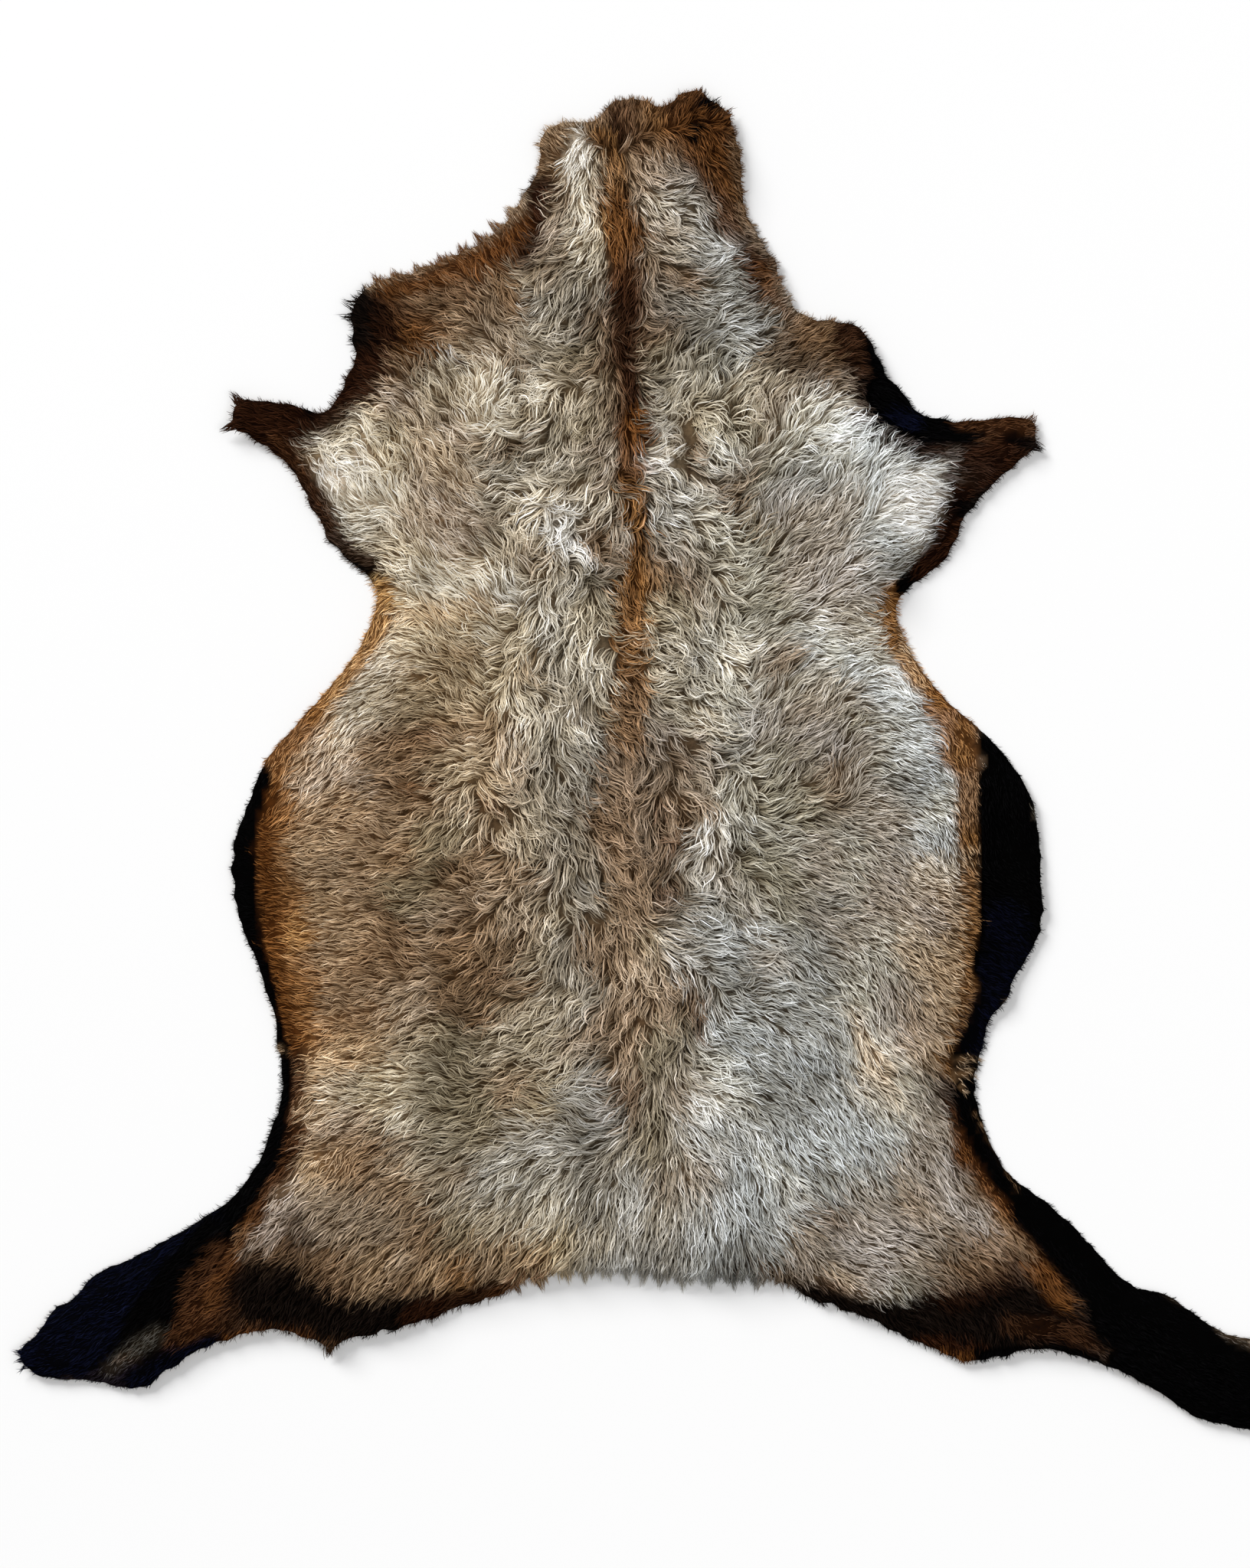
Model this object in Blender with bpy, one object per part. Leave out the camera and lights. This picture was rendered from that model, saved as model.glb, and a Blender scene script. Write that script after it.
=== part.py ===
"""Models a whole sheepskin, legs and neck included, lying flat on its skin side with the wool up.

The hide is one piece, a skin with the wool that grows on it, and so one closed slab: a lumpy top, a
flat underside, and locks of wool at its rim. Its neck points to +Y and its tail end to -Y. The
origin is on the floor, under the middle of the hide's box.
"""

import math
import random
from typing import NamedTuple

import bpy
import bmesh
import numpy as np
from mathutils import Vector, noise
from mathutils.geometry import delaunay_2d_cdt, interpolate_bezier
from mathutils.kdtree import KDTree

# All lengths below are in millimetres, and this turns them into metres.
MM = 0.001

# The wool, with the skin under it
FULL_WOOL = 20.5        # height over the back
LUMP_WIDTH = 27.0       # of the lumps, across the way that the wool lies
LUMP_LENGTH = 80.0      # and along it
LUMP_HEIGHT = 6.6       # how far the lumps rise and fall over the back
LUMP_SAMPLES = 7        # places along a lump that are averaged to draw it out
CURL_WIDTH = 19.0       # small round lumps on them
CURL_HEIGHT = 1.6
LIE_SPREAD = 270.0      # how far out from the spine the wool lies as much outward as tailward

# The locks at the rim
LOCK_TIP = 1.6          # height at the tip of a lock, which lies on the floor
NOTCH_SHARE = 0.62      # height between two locks, as a share of the wool's height at the rim
LOCK_SPACING = 12.0     # between two very short locks
LOCK_SPREAD = 0.6       # how much wider the spacing is for each millimetre of a lock
LOCK_UNEVEN = 0.28      # share by which spacing and length vary
LOCK_RIDGE = 1.6        # how far a lock's back stands above the wool beside it
RIDGE_INSET = 11.0      # from the rim to the inner end of a lock's back

# The surface's points
RIM_STEP = 3.0          # between places on the smooth rim
RIM_BLEND = 9           # places on the rim that a point's height is read from
GRID_STEP = 15.0        # between points over the wool
LEAST_SHARE = 0.62      # least distance of a grid point from any other, as a share of the step
LEAST_APART = 5.5       # least distance of any other point
MEETING = 1e-5          # points of the plan closer than this are one
SEED = 7

SHARP_EDGE = math.radians(50)
WOOL_COLOUR = (0.36, 0.29, 0.22, 1.0)
WOOL_ROUGHNESS = 0.95


class Stretch(NamedTuple):
    """A length of the rim, seen from above and taken clockwise.

    edge is the wool's height at the rim, reach the way in from there to the full wool, and lean the
    angle in degrees by which the locks turn from straight out to the way that the rim runs.
    Columns of places: across (+X), along (+Y, towards the neck), lock (how long the locks are).
    """

    name: str
    edge: float
    reach: float
    lean: float
    places: tuple


RIM = (
    Stretch("neck top", 8, 30, 0, (
        (-88, 497, 8), (-85, 512, 8), (-75, 520, 7), (-56, 523, 7), (-46, 521, 5), (-31, 530, 5),
        (-28, 538, 5), (0, 541, 5), (10, 534, 4), (20, 535, 4), (27, 543, 5), (38, 551, 8),
        (55, 542, 9), (68, 533, 10),
    )),
    Stretch("right of the neck", 11, 34, -20, (
        (74, 517, 8), (80, 492, 8), (81, 462, 8), (86, 443, 8), (99, 422, 9), (112, 396, 9),
        (123, 370, 9),
    )),
    Stretch("right shoulder", 9, 36, -15, (
        (136, 359, 9), (172, 356, 9), (186, 349, 10), (190, 330, 8), (200, 312, 9), (216, 297, 5),
        (219, 286, 4), (234, 279, 6),
    )),
    Stretch("right foreleg", 6, 75, 25, (
        (262, 275, 3), (285, 277, 3), (322, 277, 6), (323, 264, 6), (329, 254, 8), (312, 245, 5),
        (287, 223, 5), (268, 202, 5), (259, 186, 6), (254, 169, 8), (240, 154, 6),
    )),
    Stretch("right waist", 7, 34, 30, (
        (220, 140, 3), (208, 126, 3), (208, 115, 5), (214, 95, 3), (230, 68, 3), (256, 39, 3),
    )),
    Stretch("right belly", 5, 78, -28, (
        (280, 19, 3), (299, -2, 3), (319, -35, 3), (325, -70, 5), (328, -108, 8), (328, -134, 9),
        (322, -157, 6),
    )),
    Stretch("right flank", 4, 60, 15, (
        (303, -186, 3), (298, -203, 3), (287, -212, 2), (279, -238, 3), (272, -264, 3),
        (275, -289, 3),
    )),
    Stretch("right hind leg, front", 5, 95, 25, (
        (288, -325, 3), (303, -348, 3), (341, -376, 3), (383, -420, 3), (402, -437, 3),
        (431, -444, 3), (448, -457, 3), (479, -476, 3), (502, -481, 4),
    )),
    Stretch("right hind leg, end", 5, 80, 0, (
        (513, -489, 8), (507, -504, 8), (516, -524, 8), (519, -545, 9), (510, -556, 8),
    )),
    Stretch("right hind leg, back", 6, 90, -30, (
        (486, -552, 7), (459, -547, 6), (425, -526, 6), (397, -509, 6), (365, -497, 5),
        (327, -488, 5), (303, -494, 9), (265, -499, 11), (246, -492, 10),
    )),
    Stretch("right of the rump", 9, 52, -18, (
        (220, -481, 9), (190, -466, 9), (160, -453, 10), (136, -448, 10), (110, -437, 10),
    )),
    Stretch("rump", 13, 34, 0, (
        (96, -438, 10), (62, -436, 11), (36, -438, 11), (5, -435, 10), (-22, -430, 9),
        (-60, -432, 10), (-96, -438, 10),
    )),
    Stretch("left of the rump", 9, 52, 18, (
        (-130, -447, 10), (-165, -460, 10), (-200, -472, 11), (-246, -481, 11), (-265, -490, 10),
        (-274, -479, 9), (-300, -473, 10),
    )),
    Stretch("left hind leg, back", 6, 90, 25, (
        (-330, -476, 10), (-358, -486, 6), (-392, -506, 6), (-414, -523, 9), (-448, -515, 9),
        (-469, -516, 9), (-508, -507, 8),
    )),
    Stretch("left hind leg, end", 5, 80, 0, (
        (-518, -494, 8), (-511, -483, 6),
    )),
    Stretch("left hind leg, front", 5, 95, -25, (
        (-499, -476, 4), (-487, -457, 4), (-468, -446, 3), (-452, -426, 4), (-434, -420, 3),
        (-397, -401, 3), (-361, -380, 3), (-339, -366, 3), (-317, -334, 3), (-303, -298, 3),
    )),
    Stretch("left flank", 4, 58, -15, (
        (-297, -268, 3), (-301, -242, 3), (-305, -212, 3), (-319, -170, 6), (-332, -142, 9),
    )),
    Stretch("left belly", 5, 66, 28, (
        (-338, -98, 9), (-336, -66, 5), (-328, -45, 3), (-310, -3, 3),
    )),
    Stretch("left waist", 7, 34, -30, (
        (-283, 29, 3), (-250, 67, 3), (-229, 98, 3), (-219, 127, 5), (-221, 141, 3),
    )),
    Stretch("left foreleg", 6, 75, -25, (
        (-241, 160, 8), (-259, 176, 9), (-274, 206, 9), (-287, 232, 6), (-304, 250, 6),
        (-330, 266, 6), (-343, 270, 6), (-336, 286, 6), (-330, 301, 6), (-323, 294, 3),
        (-282, 288, 3), (-264, 281, 3),
    )),
    Stretch("left shoulder", 8, 44, 20, (
        (-254, 290, 8), (-244, 313, 9), (-237, 332, 8), (-243, 364, 9), (-236, 381, 9),
        (-220, 392, 8),
    )),
    Stretch("left cheek", 6, 58, 15, (
        (-194, 397, 8), (-166, 408, 9), (-134, 424, 12), (-109, 448, 12), (-93, 472, 10),
        (-84, 479, 6),
    )),
)


class Crease(NamedTuple):
    """A trough that the hide's own folds leave in the wool. Columns of places: across, along."""

    name: str
    depth: float
    width: float
    places: tuple


CREASES = (
    Crease("neck rolled over the left cheek", 10, 11, ((-86, 472), (-85, 448), (-92, 424), (-106, 398))),
    Crease("left flank's pucker", 4, 9, ((-296, -247), (-279, -243))),
    Crease("right flank's pucker", 4, 9, ((268, -259), (249, -255))),
    Crease("right elbow", 5, 12, ((208, 121), (190, 126))),
)


def ease(share):
    """Rises softly from 0 to 1."""
    share = min(max(share, 0.0), 1.0)
    return share * share * (3.0 - 2.0 * share)


def smooth_rim():
    """Places on a smooth closed curve through the table's, with lock, edge, reach and lean at each."""
    rows = [(Vector(place[:2]), (place[2], stretch.edge, stretch.reach, stretch.lean))
            for stretch in RIM for place in stretch.places]
    places = []
    columns = []
    for i, (start, held) in enumerate(rows):
        before = rows[i - 1][0]
        end, next_held = rows[(i + 1) % len(rows)]
        after = rows[(i + 2) % len(rows)][0]
        back = math.sqrt((start - before).length)
        run = math.sqrt((end - start).length)
        on = math.sqrt((after - end).length)
        leave = ((start - before) / back - (end - before) / (back + run) + (end - start) / run) * run
        arrive = ((end - start) / run - (after - start) / (run + on) + (after - end) / on) * run
        count = max(2, round((end - start).length / RIM_STEP))
        curve = interpolate_bezier(start, start + leave / 3, end - arrive / 3, end, count + 1)
        for k, place in enumerate(curve[:-1]):
            places.append(place[:2])
            columns.append([a + (b - a) * k / count for a, b in zip(held, next_held)])
    return np.array(places), np.array(columns)


def rim_directions(places):
    """The way that the rim runs at each place, and the one straight out of the hide."""
    along = np.roll(places, -1, 0) - np.roll(places, 1, 0)
    along /= np.linalg.norm(along, axis=1)[:, None]
    return along, np.stack([-along[:, 1], along[:, 0]], 1)


def lay_locks(places, columns):
    """The locks round the rim.

    It gives the outline, as places with the top's height at each, a notch and a tip in turn, and the
    places inside it at each notch and along each lock's back, with what they add to the wool's height.
    """
    draw = random.Random(SEED)
    along, out = rim_directions(places)
    walk = np.concatenate([[0.0], np.cumsum(np.linalg.norm(np.diff(places, axis=0), axis=1))])
    outline = []
    inside = {}
    walked = 0.0
    while walked < walk[-1] - LOCK_SPACING:
        i = int(np.searchsorted(walk, walked, side="right")) - 1
        gap, edge = columns[i][:2]
        spacing = (LOCK_SPACING + LOCK_SPREAD * gap) * draw.uniform(1 - LOCK_UNEVEN, 1 + LOCK_UNEVEN)
        middle = walked + spacing / 2
        j = int(np.searchsorted(walk, middle, side="right")) - 1
        lock = columns[j][0] * draw.uniform(1 - LOCK_UNEVEN, 1 + LOCK_UNEVEN)
        turn = math.radians(columns[j][3])
        lay = math.cos(turn) * out[j] + math.sin(turn) * along[j]
        outline.append((tuple(places[i] - out[i] * gap / 2), edge * NOTCH_SHARE))
        outline.append((tuple(places[j] + lay * lock / 2), LOCK_TIP))
        inside[tuple(places[i] - out[i] * (gap / 2 + RIDGE_INSET))] = -LOCK_RIDGE
        inside[tuple(places[j] - lay * (lock / 2 + RIDGE_INSET))] = LOCK_RIDGE
        walked += spacing
    return outline, inside


def within(ring, places):
    """The places that lie inside a closed ring."""
    starts = np.array(ring)
    ends = np.roll(starts, -1, 0)
    x, y = np.array(places).T[:, :, None]
    crosses = (starts[:, 1] > y) != (ends[:, 1] > y)
    rise = ends[:, 1] - starts[:, 1]
    rise[rise == 0] = 1.0
    crossing = starts[:, 0] + (y - starts[:, 1]) / rise * (ends[:, 0] - starts[:, 0])
    inside = (crosses & (x < crossing)).sum(1) % 2 == 1
    return [place for place, held in zip(places, inside) if held]


def lattice(step, low, high):
    """Places of a triangular grid over a box."""
    rows = np.arange(low[1], high[1], step * math.sqrt(3) / 2)
    return [(x + step / 2 * (row % 2), y)
            for row, y in enumerate(rows)
            for x in np.arange(low[0], high[0], step)]


class Cells:
    """Places sorted into square cells, so that those near a spot are found quickly."""

    def __init__(self, places):
        self.held = {}
        for place in places:
            self.add(Vector(place))

    def key(self, spot):
        return math.floor(spot.x / GRID_STEP), math.floor(spot.y / GRID_STEP)

    def add(self, spot):
        self.held.setdefault(self.key(spot), []).append(spot)

    def near(self, spot, reach):
        span = math.ceil(reach / GRID_STEP)
        column, row = self.key(spot)
        for i in range(column - span, column + span + 1):
            for j in range(row - span, row + span + 1):
                yield from self.held.get((i, j), ())


def thin_out(places, taken, least):
    """The places that keep a least distance from those taken, which they join, and each other."""
    kept = []
    for place in places:
        spot = Vector(place)
        if all((spot - other).length >= least for other in taken.near(spot, least)):
            taken.add(spot)
            kept.append(place)
    return kept


def crease_places():
    """Places along the bottom of each crease, and on both its sides."""
    found = []
    for crease in CREASES:
        for start, end in zip(crease.places, crease.places[1:]):
            start, run = Vector(start), Vector(end) - Vector(start)
            aside = run.normalized().orthogonal() * crease.width
            count = max(1, round(run.length / crease.width))
            for k in range(count + 1):
                spot = start + run * k / count
                found += [tuple(spot), tuple(spot + aside), tuple(spot - aside)]
    return found


def crease_depth(spot):
    """How far the creases lower the wool at a spot."""
    deepest = 0.0
    for crease in CREASES:
        for start, end in zip(crease.places, crease.places[1:]):
            start, run = Vector(start), Vector(end) - Vector(start)
            share = min(max((spot - start).dot(run) / run.length_squared, 0.0), 1.0)
            off = (spot - start - run * share).length
            deepest = max(deepest, crease.depth * (1.0 - ease(off / crease.width)))
    return deepest


def lumps(spot):
    """The rise and fall of the wool, in lumps drawn out along the way that it lies."""
    lie = Vector((spot.x / LIE_SPREAD, -1.0)).normalized()
    total = 0.0
    for k in range(LUMP_SAMPLES):
        share = k / (LUMP_SAMPLES - 1) - 0.5
        place = (spot + lie * LUMP_LENGTH * share) / LUMP_WIDTH
        total += noise.noise((place.x, place.y, 0.0))
    curls = noise.noise((spot.x / CURL_WIDTH, spot.y / CURL_WIDTH, LUMP_WIDTH))
    return LUMP_HEIGHT * total / math.sqrt(LUMP_SAMPLES) + CURL_HEIGHT * curls


class Wool:
    """The height of the wool's top, from the rim's table, the lumps and the creases."""

    def __init__(self, places, columns):
        self.columns = columns
        self.rim = KDTree(len(places))
        for i, place in enumerate(places):
            self.rim.insert((*place, 0.0), i)
        self.rim.balance()

    def height(self, spot):
        near = self.rim.find_n((spot.x, spot.y, 0.0), RIM_BLEND)
        inset = near[0][2]
        edge, reach = np.mean([self.columns[i][1:3] for _, i, _ in near], axis=0)
        smooth = edge + (FULL_WOOL - edge) * ease(inset / reach)
        share = smooth / FULL_WOOL
        return max(smooth + share * (lumps(spot) - crease_depth(spot)), edge * NOTCH_SHARE)


def top_places(ring, inside, low, high):
    """The top's places inside the ring: those of the locks and creases, and a grid over the rest."""
    taken = Cells(ring)
    locks = thin_out(within(ring, list(inside)), taken, LEAST_APART)
    creases = thin_out(within(ring, crease_places()), taken, LEAST_APART)
    grid = thin_out(within(ring, lattice(GRID_STEP, low, high)), taken, GRID_STEP * LEAST_SHARE)
    return locks + creases + grid


def triangles(ring, inner):
    """Joins the ring and the places inside it with triangles that face up."""
    spots = [Vector(place) for place in ring + inner]
    found = delaunay_2d_cdt(spots, [], [list(range(len(ring)))], 1, MEETING)
    if len(found[0]) != len(spots):
        raise ValueError("the outline crosses itself, or two places of the plan meet")
    index = [source[0] for source in found[3]]
    faces = []
    for face in found[2]:
        a, b, c = (index[i] for i in face)
        faces_up = (spots[b] - spots[a]).cross(spots[c] - spots[a]) > 0
        faces.append((a, b, c) if faces_up else (a, c, b))
    return faces


def build_slab():
    """The hide's mesh: its lumpy top, its underside, and the wall of the locks' edges."""
    places, columns = smooth_rim()
    low, high = places.min(0), places.max(0)
    outline, inside = lay_locks(places, columns)
    ring = [place for place, _ in outline]
    inner = top_places(ring, inside, low, high)

    wool = Wool(places, columns)
    heights = [height for _, height in outline]
    heights += [wool.height(Vector(place)) + inside.get(place, 0.0) for place in inner]
    middle = (np.min(ring, axis=0) + np.max(ring, axis=0)) / 2

    slab = bmesh.new()

    def vertex(place, height):
        across, along = place - middle
        return slab.verts.new(Vector((across, along, height)) * MM)

    upper = [vertex(place, height) for place, height in zip(ring + inner, heights)]
    lower = [vertex(place, 0.0) for place in ring]
    for face in triangles(ring, inner):
        slab.faces.new([upper[i] for i in face])
    for face in triangles(ring, []):
        slab.faces.new([lower[i] for i in reversed(face)])
    for i in range(len(ring)):
        k = (i + 1) % len(ring)
        slab.faces.new((upper[i], upper[k], lower[k]))
        slab.faces.new((upper[i], lower[k], lower[i]))
    bmesh.ops.recalc_face_normals(slab, faces=slab.faces)
    return slab


def wool_material():
    """Taupe wool, dry and dull."""
    material = bpy.data.materials.new("wool")
    material.use_nodes = True
    shader = material.node_tree.nodes["Principled BSDF"]
    shader.inputs["Base Color"].default_value = WOOL_COLOUR
    shader.inputs["Roughness"].default_value = WOOL_ROUGHNESS
    shader.inputs["Metallic"].default_value = 0.0
    return material


def make_sheepskin():
    """The hide with its wool, one object."""
    mesh = bpy.data.meshes.new("sheepskin")
    slab = build_slab()
    slab.to_mesh(mesh)
    slab.free()
    mesh.shade_smooth()
    mesh.set_sharp_from_angle(angle=SHARP_EDGE)
    mesh.materials.append(wool_material())
    hide = bpy.data.objects.new("sheepskin", mesh)
    bpy.context.collection.objects.link(hide)
    return hide


def main():
    for old in list(bpy.data.objects):
        bpy.data.objects.remove(old, do_unlink=True)
    make_sheepskin()


main()
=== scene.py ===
"""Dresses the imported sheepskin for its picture: a suede skin, a dense undercoat, and the wool on it.

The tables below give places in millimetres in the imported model's frame: across is +X, to the right,
and along is +Y, towards the neck. Angles are in degrees, turning from +X towards +Y.
"""

import math
from typing import NamedTuple

import bpy
import numpy as np
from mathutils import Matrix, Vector
from mathutils.bvhtree import BVHTree
from mathutils.geometry import delaunay_2d_cdt
from mathutils.kdtree import KDTree


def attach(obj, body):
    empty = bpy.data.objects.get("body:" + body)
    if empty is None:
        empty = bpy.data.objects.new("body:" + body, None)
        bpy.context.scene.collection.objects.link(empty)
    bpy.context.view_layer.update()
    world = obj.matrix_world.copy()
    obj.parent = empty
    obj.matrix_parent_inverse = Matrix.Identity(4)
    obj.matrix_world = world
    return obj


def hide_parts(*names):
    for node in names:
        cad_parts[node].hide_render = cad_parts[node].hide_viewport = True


MM = 0.001
SEED = 11
random = np.random.default_rng(SEED)

# The grid on which the hide's height, outline and patterns are kept
STEP = 2.0
COLUMNS = np.arange(-568.0, 569.0, STEP)
ROWS = np.arange(-604.0, 605.0, STEP)

# How far the rim's points are rounded off and its notches filled, and the middle of the rump drawn in
OPENING = 6.0
CLOSING = 8.0
RUMP_TRIM = 9.0

# How far the grids are smoothed: the outline, the height and the way outwards
OUTLINE_BLUR = 1.5
HEIGHT_BLUR = 4.0
OUTWARD_BLUR = 5.0

# The distance over which the wool's height fades outside the rim, and the lift of the rim inside it
TOP_FADE = 14
LIFT_FADE = 60

# The skin and the undercoat
SKIN_THICK = 1.8
SKIN_STEP = 11.0
SKIN_INSET = 3.0
SKIN_WAVE = 0.12
UNDERCOAT_STEP = 5.6
UNDERCOAT_SHARE = 0.60
UNDERCOAT_BUMPS = 0.9
UNDERCOAT_RISE = 12
UNDERCOAT_RIM = 0.3
# How dark the undercoat is against the wool above it: partly the roots' own colour, partly painted shade
# between the strands
ROOT_AND_SHADE_TINT = (0.40, 0.32, 0.24)
SUEDE_RANGE = (0.3, 0.72)
SUEDE_TINTS = ((0.66, 0.53, 0.39), (0.82, 0.72, 0.58))

# The wool
STRAND_STEP = 2.0
LOCK_STEP = 5.6
LOCK_ROWS = 0.87
LOCK_JITTER = 0.4
LOCK_MARGIN = 3
STRAND_WIDTH = 1.15
FULL_LENGTH = 26
ROOT_BACK = 0.4
ROOT_INSIDE = 0.8
ROOT_HEIGHT = 0.5
PAST_RIM = 0.8
LOWEST = 0.8
RIBBON_LOWEST = 0.5
PIECES = 5

# What straight wool has, and what full curls add to it. Spreads are of a lock, or of a strand in it
TURN_SHARE = (0.4, 0.9)
TURN_SPREAD = (0.12, 0.45)
ANGLE_SPREAD = (0.07, 0.16)
HOOK_SPREAD = (0.2, 0.7)
LENGTH_SHARE = (0.80, 0.20)
WAVE = (0.27, 0.15)
SHADE_SPREAD = (0.07, 0.08)
STRAND_SPREAD = (0.09, 0.05)
LAY_SPREAD = (0.55, 0.55)
LAY_FALL = (0.5, 2.0)
TONE_SPREAD = (0.20, 0.09)
# Darkens the strands at a lock's edge, as painted shade between the locks
EDGE_SHADE = (0.10, 0.34)

# The rim's hairs and tufts, and how far inside the rim the hairs take their colour
RIM_HAIRS = 12000
RIM_TRIES = 60
RIM_DEPTH = 3.6
RIM_SEEN = 4.0
TUFT_HAIRS = 16
TUFT_GAP = 6.0
TUFT_HALF = 4.5

# How far a table's row counts, against the rows about it
FLOW_REACH = 9.0
PLACE_REACH = 13.0
ZONE_REACH = 14.0
SHADE_REACH = 18.0

# How much lighter the hairs are than the tints, which are seen with the shadows between the hairs
GAIN = 1.7

# The left half is warmer and the right half cooler, and the wool is a little darker towards the rump
WARM = (0.0, -0.04, -0.11)
COOL = (0.0, 0.08, 0.17)
DARKER = 0.12

# How far the colours' edges wander, the share of it at the rim, and an oval's reach past its size
WOBBLE = 3.0
RIM_WOBBLE = 0.35
PATCH_REACH = 1.7

# Black bands of this half width or more are flaps, whose hair and the wool's don't cross
FLAP_HALF = 6

# Places that are coloured at a time, which bounds the memory that it takes
BATCH = 10000

# The sensor of the camera, in millimetres, and the light from all round
SENSOR = 36.0
WORLD_LIGHT = 0.40

# The floor and the camera, which stands straight above the hide, in metres
FLOOR_HALF = 8.0
FLOOR_DROP = 0.0002
FIELD = 1.2902
CAMERA_PLACE = (-0.0161, -0.0184)
CAMERA_HEIGHT = 5.0
WOOL_HEIGHT = 0.010

# Colours, as seen on a screen
TINTS = {
    "white": (0.80, 0.79, 0.765),
    "pale": (0.73, 0.70, 0.635),
    "cream": (0.66, 0.62, 0.54),
    "silver": (0.63, 0.62, 0.59),
    "greige": (0.58, 0.545, 0.48),
    "grey": (0.52, 0.50, 0.46),
    "ash": (0.44, 0.42, 0.38),
    "pink": (0.58, 0.53, 0.48),
    "peach": (0.66, 0.59, 0.50),
    "sand": (0.60, 0.545, 0.44),
    "taupe": (0.52, 0.465, 0.40),
    "fawn": (0.50, 0.42, 0.335),
    "tan": (0.58, 0.49, 0.385),
    "olive": (0.46, 0.42, 0.34),
    "golden": (0.56, 0.46, 0.31),
    "amber": (0.595, 0.44, 0.26),
    "orange": (0.475, 0.32, 0.165),
    "caramel": (0.43, 0.30, 0.165),
    "rust": (0.345, 0.21, 0.09),
    "umber": (0.41, 0.325, 0.24),
    "mink": (0.31, 0.24, 0.17),
    "brown": (0.25, 0.155, 0.085),
    "dark": (0.14, 0.07, 0.03),
    "soot": (0.05, 0.03, 0.02),
    "black": (0.006, 0.005, 0.006),
    "navy": (0.018, 0.024, 0.072),
}


def rows(kind, table):
    """A table's rows, with the names of their fields."""
    return tuple(kind(*row) for row in table)


class Way(NamedTuple):
    """An angle of the wool at a place."""

    across: float
    along: float
    angle: float


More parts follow.
